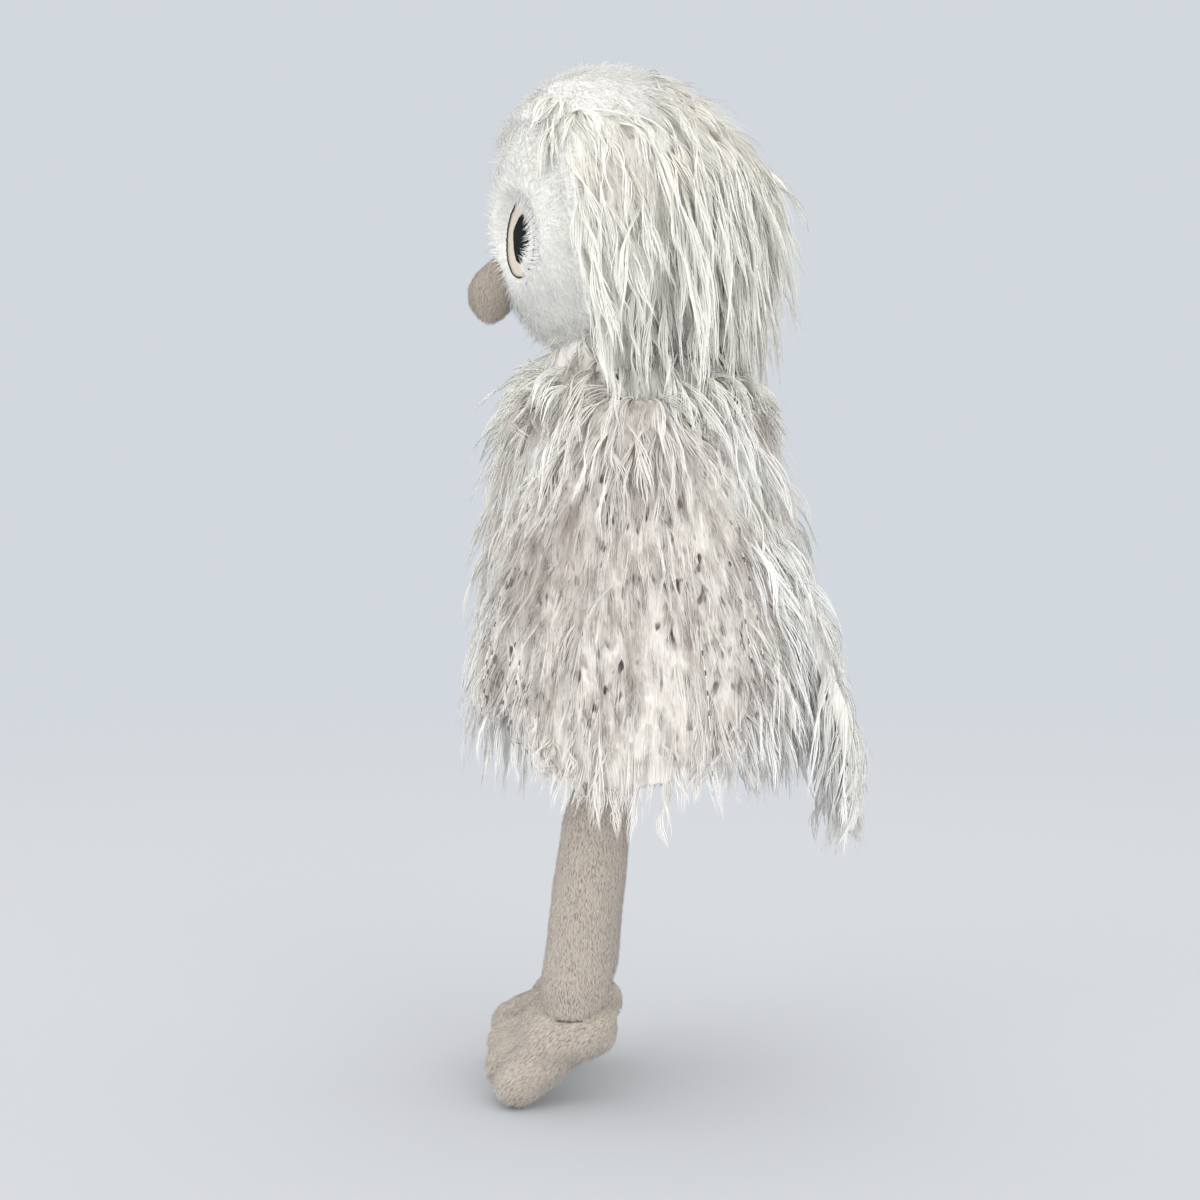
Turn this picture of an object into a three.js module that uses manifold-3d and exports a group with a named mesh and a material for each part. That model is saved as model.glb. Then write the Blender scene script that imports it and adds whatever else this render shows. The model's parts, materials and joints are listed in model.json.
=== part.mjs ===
// A long-legged plush owl, held upright, as the separate sewn and stuffed pieces that it is made of.
// Millimetres, +Z up. The owl looks along -Y and its left side is +X.
import * as THREE from "three";
import { mergeVertices } from "three/addons/utils/BufferGeometryUtils.js";
import Module from "manifold-3d";

const wasm = await Module();
wasm.setup();

// Clearances between pieces that touch, and how far a cutting tool runs past what it cuts.
const seamGap = 0.3;
const cutReach = 600;

// Cloth and pile thicknesses.
const coatWall = 6;
const faceWall = 5;
const plushWall = 2;
const liningWall = 2.2;
const wingCoatWall = 7;
const tailCoatWall = 9;
const threadThickness = 0.8;
const layerGap = 0.9;

// The torso: an egg that is widest low down, cut flat where it sits and sloped up over the lap.
const torso = {
  seatZ: 172,
  height: 183,
  centreY: -3.5,
  frontDepth: 70,
  backDepth: 70,
  halfWidth: 60,
  around: 24,
  // Height and girth along the torso, as shares of its height and of its half sizes.
  heightShares: [0, 0.05, 0.14, 0.26, 0.4, 0.55, 0.7, 0.82, 0.92, 1],
  girthShares: [0.84, 0.93, 0.985, 1, 0.98, 0.925, 0.845, 0.755, 0.65, 0.42],
};
const lap = { creaseY: -14, slopeDeg: 24 };
const pelletBag = { halfWidth: 36, halfDepth: 30, halfHeight: 15, settle: 3, y: 8, around: 18, levels: 10 };
const torsoTopZ = torso.seatZ + torso.height;
const widestShare = torso.heightShares[torso.girthShares.indexOf(Math.max(...torso.girthShares))];
const widestZ = torso.seatZ + torso.height * widestShare;

// The neck: a stuffed ball that the head turns and nods on.
const neck = { radius: 30, clearance: 0.9, y: -8, drop: 5, around: 24 };

// The head: an egg that is a little wider than deep, with two shallow hollows for the eyes.
const head = {
  y: -19,
  rise: 69,
  halfWidth: 61,
  frontDepth: 55,
  backDepth: 55,
  halfHeight: 67,
  around: 22,
  levels: 11,
  poleShare: 0.35,
  backRise: 7,
};
const headZ = torsoTopZ + head.rise;
const faceSeam = { y: -38, leanDeg: 9 };

// The eyes: embroidered discs on flat beds that look a little outwards.
const eye = {
  x: 27,
  y: -58.5,
  drop: 14,
  outwardDeg: 22,
  outlineRadius: 18.6,
  outlineWidth: 0.9,
  pupilRadius: 10.8,
  bedMargin: 0.8,
  hollowRadius: 27,
  hollowDepth: 13,
  around: 20,
};

// The beak: a stuffed drop that hangs off the middle of the face.
const beak = {
  topDrop: 15,
  height: 34,
  rootY: -68,
  reach: 13,
  halfDepth: 13,
  halfWidth: 10.5,
  around: 14,
  heightShares: [0, 0.1, 0.28, 0.5, 0.72, 0.9, 1],
  girthShares: [0.12, 0.5, 0.84, 1, 0.88, 0.52, 0.14],
  leanShares: [0, 0.1, 0.28, 0.44, 0.52, 0.56, 0.58],
};

// The wings: fans that hang from a short seam at the shoulder.
const wing = {
  seamDrop: 21,
  // How far each layer hangs in its middle, and how much higher its front and back corners are.
  coat: { drop: 182, cornerRise: 62 },
  lining: { drop: 172, cornerRise: 53 },
  topHalfAngleDeg: 20,
  bottomHalfAngleDeg: 62,
  bodyGap: 1.6,
  centreAngleDeg: -6,
  rows: 8,
  columns: 8,
};

// The tail: a flap that leans out from a seam on the lower back and then hangs straight.
const tail = {
  seamRise: 68,
  length: 118,
  halfWidth: 36,
  fromVerticalDeg: 19.5,
  coatRows: 9,
  liningRows: 6,
  liningInset: 3,
  columns: 6,
  // Its width and its lean, from the seam to the tip, as shares of the widest and the first.
  widthShares: [0.78, 0.84, 0.9, 0.96, 1, 1, 0.98, 0.94, 0.84, 0.58],
  leanShares: [1, 1, 1, 0.95, 0.8, 0.5, 0.2, 0, 0, 0],
};

// The legs: plush tubes, pinched flat where they are sewn to the lap and rounded at the ankle.
const leg = {
  x: 32,
  hipY: -19,
  length: 121,
  radius: 15.7,
  pinchHalfThickness: 2,
  around: 14,
  mouthRadius: 8.5,
  // Levels down the leg and its depth and width there, as shares of its length and radius.
  downShares: [0.09, 0.18, 0.28, 0.55, 0.82, 0.93],
  depthShares: [0.46, 0.78, 0.97, 1.02, 0.98, 0.95],
  widthShares: [0.98, 1, 1, 1.02, 0.98, 0.95],
  pinchTopShare: 0.4,
  // The rounded ankle below the tube, in steps from its widest level to its bottom.
  domeSteps: 4,
  domeEndShare: 0.5,
};

// The ankles: how far each foot can straighten and point, between the leg and the sole's normal.
const ankle = { radius: 13, clearance: 0.7, around: 18, straightDeg: 10, pointedDeg: 50 };

// The feet: three toes that spread from a round heel, on a flat sole.
const foot = {
  soleDrop: 25,
  solePanel: 2.5,
  heelHalfLength: 15.5,
  heelHalfHeight: 15,
  heelHalfWidth: 17,
  heelForward: 4,
  heelDrop: 12.5,
  toeHalfLength: 27,
  toeHalfHeight: 12,
  toeHalfWidth: 11.5,
  toeForward: 26,
  toeDrop: 13.5,
  toeTiltDeg: 7,
  toeSpreadDeg: 22,
  toes: 3,
  around: 12,
  levels: 8,
  tipSteps: 3,
};

// How each side hangs in the photograph: the leg's lean and the foot's pitch and roll, in degrees.
const pose = {
  left: { side: 1, legLean: 7.5, footPitch: 27, footRoll: 22 },
  right: { side: -1, legLean: 5, footPitch: 14.5, footRoll: 8 },
};

const colours = {
  cream: { color: 0xe6e4da, roughness: 0.95 },
  face: { color: 0xe9e8e1, roughness: 0.95 },
  spotted: { color: 0xd8d2c8, roughness: 0.95 },
  beige: { color: 0xbeb4a8, roughness: 0.95 },
  stuffing: { color: 0xf2f2f0, roughness: 1 },
  pellets: { color: 0xcfd3d8, roughness: 0.9 },
  black: { color: 0x17181c, roughness: 0.6 },
  brown: { color: 0x3a2e28, roughness: 0.7 },
  ring: { color: 0xd9ccb8, roughness: 0.7 },
};

const radians = THREE.MathUtils.degToRad;

// A closed manifold solid from a three.js geometry.
function solidFrom(geometry) {
  const bare = geometry.clone();
  bare.deleteAttribute("normal");
  bare.deleteAttribute("uv");
  const merged = mergeVertices(bare);
  return new wasm.Manifold(
    new wasm.Mesh({
      numProp: 3,
      vertProperties: new Float32Array(merged.attributes.position.array),
      triVerts: new Uint32Array(merged.index.array),
    }),
  );
}

// A three.js geometry from a manifold solid.
function geometryFrom(solid) {
  const mesh = solid.getMesh();
  return new THREE.BufferGeometry()
    .setAttribute("position", new THREE.BufferAttribute(mesh.vertProperties, 3))
    .setIndex(new THREE.BufferAttribute(mesh.triVerts, 1));
}

// A closed form through rings of points, each ring capped at its middle at the two ends.
function loft(rings) {
  const around = rings[0].length;
  const points = rings.flat();
  const middle = (ring) =>
    ring.reduce((sum, p) => sum.add(p), new THREE.Vector3()).divideScalar(around);
  const low = points.push(middle(rings[0])) - 1;
  const high = points.push(middle(rings.at(-1))) - 1;
  const faces = [];
  for (let i = 0; i < around; i++) {
    const j = (i + 1) % around;
    faces.push(low, j, i);
    const top = (rings.length - 1) * around;
    faces.push(high, top + i, top + j);
    for (let r = 0; r < rings.length - 1; r++) {
      const a = r * around;
      const b = a + around;
      faces.push(a + i, a + j, b + j, a + i, b + j, b + i);
    }
  }
  const geometry = new THREE.BufferGeometry().setFromPoints(points);
  geometry.setIndex(faces);
  return geometry;
}

// A level ring: an oval with its own reach to the front, to the back and to each side.
function oval({ z, y = 0, front, back, width }, around) {
  return Array.from({ length: around }, (_, i) => {
    const turn = (2 * Math.PI * i) / around;
    const depth = Math.sin(turn) < 0 ? front : back;
    return new THREE.Vector3(width * Math.cos(turn), y + depth * Math.sin(turn), z);
  });
}

// A box that fills the side of a plane that direction points to.
function halfSpace(point, direction) {
  const block = new THREE.BoxGeometry(cutReach, cutReach, cutReach);
  block.translate(0, 0, cutReach / 2);
  const turn = new THREE.Quaternion().setFromUnitVectors(
    new THREE.Vector3(0, 0, 1),
    direction.clone().normalize(),
  );
  block.applyQuaternion(turn);
  block.translate(point.x, point.y, point.z);
  return solidFrom(block);
}

function ball(radius, centre, around) {
  const geometry = new THREE.SphereGeometry(radius, around, Math.round(around / 2));
  geometry.rotateX(Math.PI / 2);
  geometry.translate(centre.x, centre.y, centre.z);
  return geometry;
}

function ellipsoid(halfX, halfY, halfZ, around, levels) {
  return new THREE.SphereGeometry(1, around, levels).scale(halfX, halfY, halfZ);
}

function piece(name, solid, look) {
  const mesh = new THREE.Mesh(geometryFrom(solid), new THREE.MeshStandardMaterial(look));
  mesh.name = name;
  return mesh;
}

// The torso's half sizes at a height, between its named levels.
function torsoAt(z) {
  const share = THREE.MathUtils.clamp((z - torso.seatZ) / torso.height, 0, 1);
  const above = torso.heightShares.findIndex((s) => s >= share);
  const i = Math.max(1, above);
  const low = torso.heightShares[i - 1];
  const t = (share - low) / (torso.heightShares[i] - low);
  return THREE.MathUtils.lerp(torso.girthShares[i - 1], torso.girthShares[i], t);
}

// The torso's form, drawn in by inset on every side.
function torsoForm(inset) {
  const rings = torso.heightShares.map((share, i) => {
    const last = torso.heightShares.length - 1;
    const girth = torso.girthShares[i];
    const end = i === 0 ? inset : i === last ? -inset : 0;
    return oval(
      {
        z: torso.seatZ + share * torso.height + end,
        y: torso.centreY,
        front: torso.frontDepth * girth - inset,
        back: torso.backDepth * girth - inset,
        width: torso.halfWidth * girth - inset,
      },
      torso.around,
    );
  });
  const slope = radians(lap.slopeDeg);
  const outward = new THREE.Vector3(0, -Math.sin(slope), -Math.cos(slope));
  const crease = new THREE.Vector3(0, lap.creaseY, torso.seatZ);
  const cut = halfSpace(crease.addScaledVector(outward, -inset), outward);
  return solidFrom(loft(rings)).subtract(cut);
}

const neckCentre = new THREE.Vector3(0, neck.y, torsoTopZ - neck.drop);
const neckBall = (grow) => solidFrom(ball(neck.radius + grow, neckCentre, neck.around));

function makeTorso() {
  const outer = torsoForm(0);
  const skin = outer.subtract(torsoForm(coatWall)).subtract(neckBall(neck.clearance));
  const sideSeam = new THREE.Vector3(0, torso.centreY, torso.seatZ);
  const forward = new THREE.Vector3(0, -1, 0);
  const backward = new THREE.Vector3(0, 1, 0);
  const frontHalf = halfSpace(sideSeam.clone().addScaledVector(forward, seamGap / 2), forward);
  const backHalf = halfSpace(sideSeam.clone().addScaledVector(backward, seamGap / 2), backward);
  const floorZ = torso.seatZ + coatWall + seamGap;
  const bagForm = (grow) => {
    const bag = ellipsoid(
      pelletBag.halfWidth + grow,
      pelletBag.halfDepth + grow,
      pelletBag.halfHeight + grow,
      pelletBag.around,
      pelletBag.levels,
    );
    bag.translate(0, pelletBag.y, floorZ + pelletBag.halfHeight - pelletBag.settle);
    return solidFrom(bag);
  };
  const belowFloor = halfSpace(new THREE.Vector3(0, 0, floorZ), new THREE.Vector3(0, 0, -1));
  const stuffing = torsoForm(coatWall + seamGap)
    .subtract(neckBall(neck.clearance))
    .subtract(bagForm(seamGap));
  return [
    piece("torso_front_coat", skin.intersect(frontHalf), colours.cream),
    piece("torso_back_coat", skin.intersect(backHalf), colours.cream),
    piece("torso_stuffing", stuffing, colours.stuffing),
    piece("pellet_bag", bagForm(0).subtract(belowFloor), colours.pellets),
  ];
}

// Where an eye's bed lies and which way it looks.
function eyeFrame(side) {
  const outward = radians(eye.outwardDeg);
  const look = new THREE.Vector3(side * Math.sin(outward), -Math.cos(outward), 0);
  const centre = new THREE.Vector3(side * eye.x, eye.y, headZ - eye.drop);
  const turn = new THREE.Quaternion().setFromUnitVectors(new THREE.Vector3(0, 1, 0), look);
  return { look, centre, turn };
}

// The head's form, drawn in by inset, with the eye hollows pressed in alike.
function headForm(inset, backRise = 0) {
  const rings = Array.from({ length: head.levels }, (_, i) => {
    const turn = (Math.PI * (i + head.poleShare)) / (head.levels - 1 + 2 * head.poleShare);
    const rise = -Math.cos(turn);
    const girth = Math.sqrt(1 - rise * rise);
    return oval(
      {
        z: headZ + rise * (head.halfHeight - inset + backRise / 2),
        y: head.y,
        front: (head.frontDepth - inset) * girth,
        back: (head.backDepth - inset + backRise) * girth,
        width: (head.halfWidth - inset + backRise) * girth,
      },
      head.around,
    );
  });
  let form = solidFrom(loft(rings));
  for (const side of [1, -1]) {
    const { centre, turn } = eyeFrame(side);
    const hollow = new THREE.CylinderGeometry(
      eye.hollowRadius + inset,
      eye.outlineRadius + eye.bedMargin + inset,
      eye.hollowDepth + inset,
      eye.around,
    );
    hollow.translate(0, (eye.hollowDepth + inset) / 2 - inset, 0);
    hollow.applyQuaternion(turn);
    hollow.translate(centre.x, centre.y, centre.z);
    form = form.subtract(solidFrom(hollow));
  }
  return form;
}

// The face seam: a plane that leans forward at the top. The front side of it is the face.
function facePlane(shift, sign) {
  const lean = radians(faceSeam.leanDeg);
  const forward = new THREE.Vector3(0, -Math.cos(lean), -Math.sin(lean));
  const point = new THREE.Vector3(0, faceSeam.y, headZ).addScaledVector(forward, sign * shift);
  return halfSpace(point, forward.multiplyScalar(sign));
}

function makeHead() {
  const inner = headForm(faceWall);
  const faceShell = headForm(0).subtract(inner).subtract(neckBall(neck.clearance));
  const coatShell = headForm(0, head.backRise).subtract(inner).subtract(neckBall(neck.clearance));
  const stuffing = headForm(faceWall + seamGap).subtract(neckBall(neck.clearance));
  return [
    piece("face_panel", faceShell.intersect(facePlane(seamGap / 2, 1)), colours.face),
    piece("head_back_coat", coatShell.intersect(facePlane(seamGap / 2, -1)), colours.cream),
    piece("head_stuffing", stuffing, colours.stuffing),
  ];
}

// A flat ring or disc of thread, turned about the eye's axis.
function threadRing(innerRadius, outerRadius) {
  const profile = [
    new THREE.Vector2(innerRadius, 0),
    new THREE.Vector2(outerRadius, 0),
    new THREE.Vector2(outerRadius, threadThickness),
    new THREE.Vector2(innerRadius, threadThickness),
  ];
  if (innerRadius > 0) profile.push(profile[0].clone());
  return new THREE.LatheGeometry(profile, eye.around);
}

function makeEye(sideName, side) {
  const { look, centre, turn } = eyeFrame(side);
  const rings = {
    outline: [eye.outlineRadius - eye.outlineWidth, eye.outlineRadius, colours.brown],
    ring: [eye.pupilRadius + seamGap, eye.outlineRadius - eye.outlineWidth - seamGap, colours.ring],
    pupil: [0, eye.pupilRadius, colours.black],
  };
  return Object.entries(rings).map(([name, [innerRadius, outerRadius, finish]]) => {
    const geometry = threadRing(innerRadius, outerRadius);
    geometry.applyQuaternion(turn);
    const place = centre.clone().addScaledVector(look, seamGap);
    geometry.translate(place.x, place.y, place.z);
    return piece(`${sideName}_eye_${name}`, solidFrom(geometry), finish);
  });
}

function beakForm(inset) {
  const last = beak.heightShares.length - 1;
  const rings = beak.heightShares.map((share, i) => {
    const end = i === 0 ? -inset : i === last ? inset : 0;
    const girth = beak.girthShares[i];
    const depth = Math.max(beak.halfDepth * girth - inset, threadThickness / 2);
    return oval(
      {
        z: headZ - beak.topDrop - share * beak.height + end,
        y: beak.rootY - beak.reach * beak.leanShares[i],
        front: depth,
        back: depth,
        width: Math.max(beak.halfWidth * girth - inset, threadThickness / 2),
      },
      beak.around,
    );
  });
  return solidFrom(loft(rings.reverse()));
}

function makeBeak() {
  const face = headForm(-seamGap);
  const skin = beakForm(0).subtract(beakForm(plushWall)).subtract(face);
  const stuffing = beakForm(plushWall + seamGap).subtract(face);
  return [
    piece("beak_skin", skin, colours.beige),
    piece("beak_stuffing", stuffing, colours.stuffing),
  ];
}

// One layer of a wing: a curved fan that follows the torso's side and then hangs straight down.
function wingLayer(side, offset, thickness, { drop, cornerRise }) {
  const at = (row, column, out) => {
    const across = (2 * column) / wing.columns - 1;
    const down = row / wing.rows;
    const spread = THREE.MathUtils.lerp(
      radians(wing.topHalfAngleDeg),
      radians(wing.bottomHalfAngleDeg),
      Math.sqrt(down),
    );
    const turn = across * spread + radians(wing.centreAngleDeg);
    const reach = drop - cornerRise * down * across ** 2;
    const z = torsoTopZ - wing.seamDrop - down * reach;
    const girth = torsoAt(Math.max(z, widestZ));
    const depth = turn < 0 ? torso.frontDepth : torso.backDepth;
    return new THREE.Vector3(
      side * (torso.halfWidth * girth + out) * Math.cos(turn),
      torso.centreY + (depth * girth + out) * Math.sin(turn),
      z,
    );
  };
  // Each row is a closed ring: along the inner face and back along the outer one.
  const rings = [];
  for (let row = wing.rows; row >= 0; row--) {
    const inner = [];
    const outer = [];
    for (let column = 0; column <= wing.columns; column++) {
      inner.push(at(row, column, offset));
      outer.push(at(row, column, offset + thickness));
    }
    const ring = [...outer, ...inner.reverse()];
    rings.push(side > 0 ? ring : ring.reverse());
  }
  return solidFrom(strip(rings));
}

// A closed form through thin rings, whose ends are capped by bridging their two long sides.
function strip(rings) {
  const around = rings[0].length;
  const points = rings.flat();
  const faces = [];
  for (let r = 0; r < rings.length - 1; r++) {
    for (let i = 0; i < around; i++) {
      const j = (i + 1) % around;
      const a = r * around;
      const b = a + around;
      faces.push(a + i, a + j, b + j, a + i, b + j, b + i);
    }
  }
  const top = (rings.length - 1) * around;
  for (let i = 0; i < around / 2 - 1; i++) {
    const k = around - 1 - i;
    faces.push(i, k, k - 1, i, k - 1, i + 1);
    faces.push(top + i, top + k - 1, top + k, top + i, top + i + 1, top + k - 1);
  }
  const geometry = new THREE.BufferGeometry().setFromPoints(points);
  geometry.setIndex(faces);
  return geometry;
}

function makeWing(sideName, side) {
  const coatOffset = wing.bodyGap + liningWall + layerGap;
  const lining = wingLayer(side, wing.bodyGap, liningWall, wing.lining);
  const coat = wingLayer(side, coatOffset, wingCoatWall, wing.coat);
  return [
    piece(`${sideName}_wing_coat`, coat, colours.spotted),
    piece(`${sideName}_wing_lining`, lining, colours.beige),
  ];
}

// One layer of the tail, outside of offset, down to so many rows and drawn in sideways by inset.
function tailLayer(offset, thickness, rows, inset) {
  const seamZ = torso.seatZ + tail.seamRise;
  const stride = tail.length / tail.coatRows;
  const spine = new THREE.Vector2(
    torso.centreY + torso.backDepth * torsoAt(seamZ) + seamGap,
    seamZ,
  );
  const rings = [];
  for (let row = 0; row <= rows; row++) {
    const lean = radians(tail.fromVerticalDeg) * tail.leanShares[row];
    const out = new THREE.Vector2(Math.cos(lean), Math.sin(lean));
    const halfWidth = tail.halfWidth * tail.widthShares[row] - inset;
    const layerEdge = (reach) => {
      const edge = spine.clone().addScaledVector(out, reach);
      return Array.from({ length: tail.columns + 1 }, (_, column) => {
        const across = (2 * column) / tail.columns - 1;
        return new THREE.Vector3(halfWidth * across, edge.x, edge.y);
      });
    };
    rings.unshift([...layerEdge(offset + thickness).reverse(), ...layerEdge(offset)]);
    spine.addScaledVector(new THREE.Vector2(Math.sin(lean), -Math.cos(lean)), stride);
  }
  return solidFrom(strip(rings));
}

function makeTail() {
  const lining = tailLayer(0, liningWall, tail.liningRows, tail.liningInset);
  const coat = tailLayer(liningWall + layerGap, tailCoatWall, tail.coatRows, 0);
  return [piece("tail_lining", lining, colours.beige), piece("tail_coat", coat, colours.cream)];
}

// The leg's form along its own axis, hip at the origin and ankle below, drawn in by inset.
function legForm(inset) {
  const thin = leg.pinchHalfThickness;
  const rows = leg.downShares.map((share, i) => ({
    down: leg.length * share,
    depth: leg.radius * leg.depthShares[i] - inset,
    width: leg.radius * leg.widthShares[i] - inset,
  }));
  if (inset === 0) {
    const width = leg.radius * leg.widthShares[0];
    rows.unshift(
      { down: -thin, depth: thin * leg.pinchTopShare, width: width - thin },
      { down: 0, depth: thin, width },
    );
  }
  const roundRadius = ankle.radius - inset;
  for (let i = 0; i <= leg.domeSteps; i++) {
    const turn = ((Math.PI / 2) * i) / (leg.domeSteps + leg.domeEndShare);
    const across = roundRadius * Math.cos(turn);
    rows.push({ down: leg.length + roundRadius * Math.sin(turn), depth: across, width: across });
  }
  const rings = rows.map(({ down, depth, width }) =>
    oval({ z: -down, front: depth, back: depth, width }, leg.around),
  );
  return solidFrom(loft(rings.reverse()));
}

// The foot's form about its ankle, toes along -Y, drawn in by inset and trimmed to its range.
function footForm(inset) {
  const heel = ellipsoid(
    foot.heelHalfWidth - inset,
    foot.heelHalfLength - inset,
    foot.heelHalfHeight - inset,
    foot.around,
    foot.levels,
  );
  heel.translate(0, -foot.heelForward, -foot.heelDrop);
  let form = solidFrom(heel);
  for (let i = 0; i < foot.toes; i++) {
    const toeRadius = foot.toeHalfWidth - inset;
    const toe = new THREE.CapsuleGeometry(
      toeRadius,
      2 * (foot.toeHalfLength - foot.toeHalfWidth),
      foot.tipSteps,
      foot.around,
    );
    toe.scale(1, 1, (foot.toeHalfHeight - inset) / toeRadius);
    toe.rotateX(radians(foot.toeTiltDeg));
    toe.translate(0, -foot.toeForward, -foot.toeDrop);
    toe.rotateZ(radians((i - (foot.toes - 1) / 2) * foot.toeSpreadDeg));
    form = form.add(solidFrom(toe));
  }
  return form;
}

// A foot's pieces about its ankle, which leave room for the leg over the ankle's whole range.
function footPieces(roll) {
  const room = ankle.radius + ankle.clearance;
  const sideways = new THREE.Vector3(0, 1, 0);
  let swept = solidFrom(ball(room, new THREE.Vector3(), ankle.around));
  for (const degrees of [ankle.straightDeg, ankle.pointedDeg]) {
    const legUp = new THREE.Vector3(0, Math.sin(radians(degrees)), Math.cos(radians(degrees)));
    legUp.applyAxisAngle(sideways, -roll);
    swept = swept.add(halfSpace(legUp.clone().multiplyScalar(-ankle.clearance), legUp));
  }
  const down = new THREE.Vector3(0, 0, -1);
  const up = new THREE.Vector3(0, 0, 1);
  const planeAt = (drop, direction) => halfSpace(new THREE.Vector3(0, 0, -drop), direction);
  const soleTop = foot.soleDrop - foot.solePanel;
  const outer = footForm(0).subtract(planeAt(foot.soleDrop, down)).subtract(swept);
  const upperOuter = outer.subtract(planeAt(soleTop - seamGap, down));
  return {
    upper: largest(upperOuter.subtract(footForm(plushWall))),
    sole: largest(outer.subtract(planeAt(soleTop, up))),
    stuffing: largest(
      footForm(plushWall + seamGap).subtract(planeAt(soleTop - seamGap, down)).subtract(swept),
    ),
  };
}

// The biggest body of a solid, without the slivers that a cut leaves beside it.
function largest(solid) {
  return solid.decompose().reduce((best, one) => (one.volume() > best.volume() ? one : best));
}

function makeLegAndFoot(sideName, { side, legLean, footPitch, footRoll }) {
  const lapRise = (lap.creaseY - leg.hipY) * Math.tan(radians(lap.slopeDeg));
  const slope = Math.cos(radians(lap.slopeDeg));
  const hipZ = torso.seatZ + lapRise - (leg.pinchHalfThickness + seamGap) / slope;

  const hip = new THREE.Group();
  hip.name = `${sideName}_hip`;
  hip.position.set(side * leg.x, leg.hipY, hipZ);
  hip.rotation.x = -radians(legLean);

  // The tube is open at the ankle, under the stuffing.
  const mouth = new THREE.CylinderGeometry(
    leg.mouthRadius,
    leg.mouthRadius,
    ankle.radius,
    leg.around,
  );
  mouth.rotateX(Math.PI / 2);
  mouth.translate(0, 0, -leg.length - ankle.radius);
  const skin = legForm(0).subtract(legForm(plushWall)).subtract(solidFrom(mouth));
  hip.add(
    piece(`${sideName}_leg_skin`, skin, colours.beige),
    piece(`${sideName}_leg_stuffing`, legForm(plushWall + seamGap), colours.stuffing),
  );

  const ankleGroup = new THREE.Group();
  ankleGroup.name = `${sideName}_ankle`;
  ankleGroup.position.set(0, 0, -leg.length);
  const roll = side * radians(footRoll);
  ankleGroup.rotation.set(radians(legLean) + radians(footPitch), roll, 0);
  const { upper, sole, stuffing } = footPieces(roll);
  ankleGroup.add(
    piece(`${sideName}_foot_upper`, upper, colours.beige),
    piece(`${sideName}_foot_sole`, sole, colours.beige),
    piece(`${sideName}_foot_stuffing`, stuffing, colours.stuffing),
  );
  hip.add(ankleGroup);
  return hip;
}

const owl = new THREE.Group();
owl.add(...makeTorso());
owl.add(piece("neck_stuffing", neckBall(0), colours.stuffing));
owl.add(...makeHead(), ...makeBeak());
for (const [sideName, sidePose] of Object.entries(pose)) {
  owl.add(...makeEye(sideName, sidePose.side));
  owl.add(...makeWing(sideName, sidePose.side));
  owl.add(makeLegAndFoot(sideName, sidePose));
}
owl.add(...makeTail());

// The origin lies under the middle of the owl, level with its lowest toe.
owl.updateMatrixWorld(true);
const bounds = new THREE.Box3().setFromObject(owl, true);
const middle = bounds.getCenter(new THREE.Vector3());
owl.position.set(-middle.x, -middle.y, -bounds.min.z);

export default owl;
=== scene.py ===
"""The looks of a long-legged shaggy plush owl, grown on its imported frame.

Metres, +Z up. The owl looks along -Y and its left side is +X.
"""

import json
import logging
import math
from dataclasses import dataclass, field, replace
from enum import Enum
from functools import partial
from typing import Callable, Iterable

import bpy
import numpy as np
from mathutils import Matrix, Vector
from mathutils.bvhtree import BVHTree

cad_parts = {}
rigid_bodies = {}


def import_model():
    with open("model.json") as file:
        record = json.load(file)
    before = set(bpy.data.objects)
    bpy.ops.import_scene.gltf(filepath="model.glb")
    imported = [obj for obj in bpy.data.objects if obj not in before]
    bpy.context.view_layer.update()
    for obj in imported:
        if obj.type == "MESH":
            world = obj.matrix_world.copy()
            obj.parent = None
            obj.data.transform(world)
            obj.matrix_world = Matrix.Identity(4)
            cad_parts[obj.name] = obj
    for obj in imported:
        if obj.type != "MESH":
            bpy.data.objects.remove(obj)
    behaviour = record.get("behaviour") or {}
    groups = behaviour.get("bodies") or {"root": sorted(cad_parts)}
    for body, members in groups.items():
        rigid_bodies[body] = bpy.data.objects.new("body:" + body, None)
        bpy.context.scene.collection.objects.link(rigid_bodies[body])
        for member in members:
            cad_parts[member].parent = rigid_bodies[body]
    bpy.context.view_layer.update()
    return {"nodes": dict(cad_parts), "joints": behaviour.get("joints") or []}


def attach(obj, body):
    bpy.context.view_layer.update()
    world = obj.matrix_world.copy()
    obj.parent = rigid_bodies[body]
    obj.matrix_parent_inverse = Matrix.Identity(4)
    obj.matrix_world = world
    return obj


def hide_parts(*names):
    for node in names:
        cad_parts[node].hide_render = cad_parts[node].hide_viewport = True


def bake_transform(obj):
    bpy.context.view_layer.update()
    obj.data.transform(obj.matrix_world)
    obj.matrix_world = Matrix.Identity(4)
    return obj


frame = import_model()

log = logging.getLogger("owl")
Array = np.ndarray
Rng = np.random.Generator
Field = Callable[[Array], Array]
Mask = Callable[[Array, Array], Array]


def vec(x: float, y: float, z: float) -> Array:
    """A direction or a place, as an array."""
    return np.array([x, y, z], dtype=float)


SEED = 7
MM = 0.001
DOWN = vec(0, 0, -1)
# Takes the height out of a direction.
LEVEL = vec(1, 1, 0)
# The foot of the upright line that the neck's and the nape's hair falls away from.
MIDDLE = vec(0, -0.012, 0)
# The furthest that fur may reach, and the stretch before it where it is pressed in.
REACH = vec(0.0800, 0.1045, 0.5060)
EASE = 0.012
# The shortest that a hem cuts a lock.
SHORTEST = 0.014


class Side(Enum):
    """The owl's two sides, with the sign of X on each."""

    LEFT = 1
    RIGHT = -1

    @property
    def word(self) -> str:
        """The side's name as the frame's bodies and nodes spell it."""
        return self.name.lower()

    def has(self, points: Array, beyond: float = 0.0) -> Array:
        """Whether each point is on this side, and that far from the middle."""
        return points[:, 0] * self.value > beyond


# Shader graphs


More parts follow.
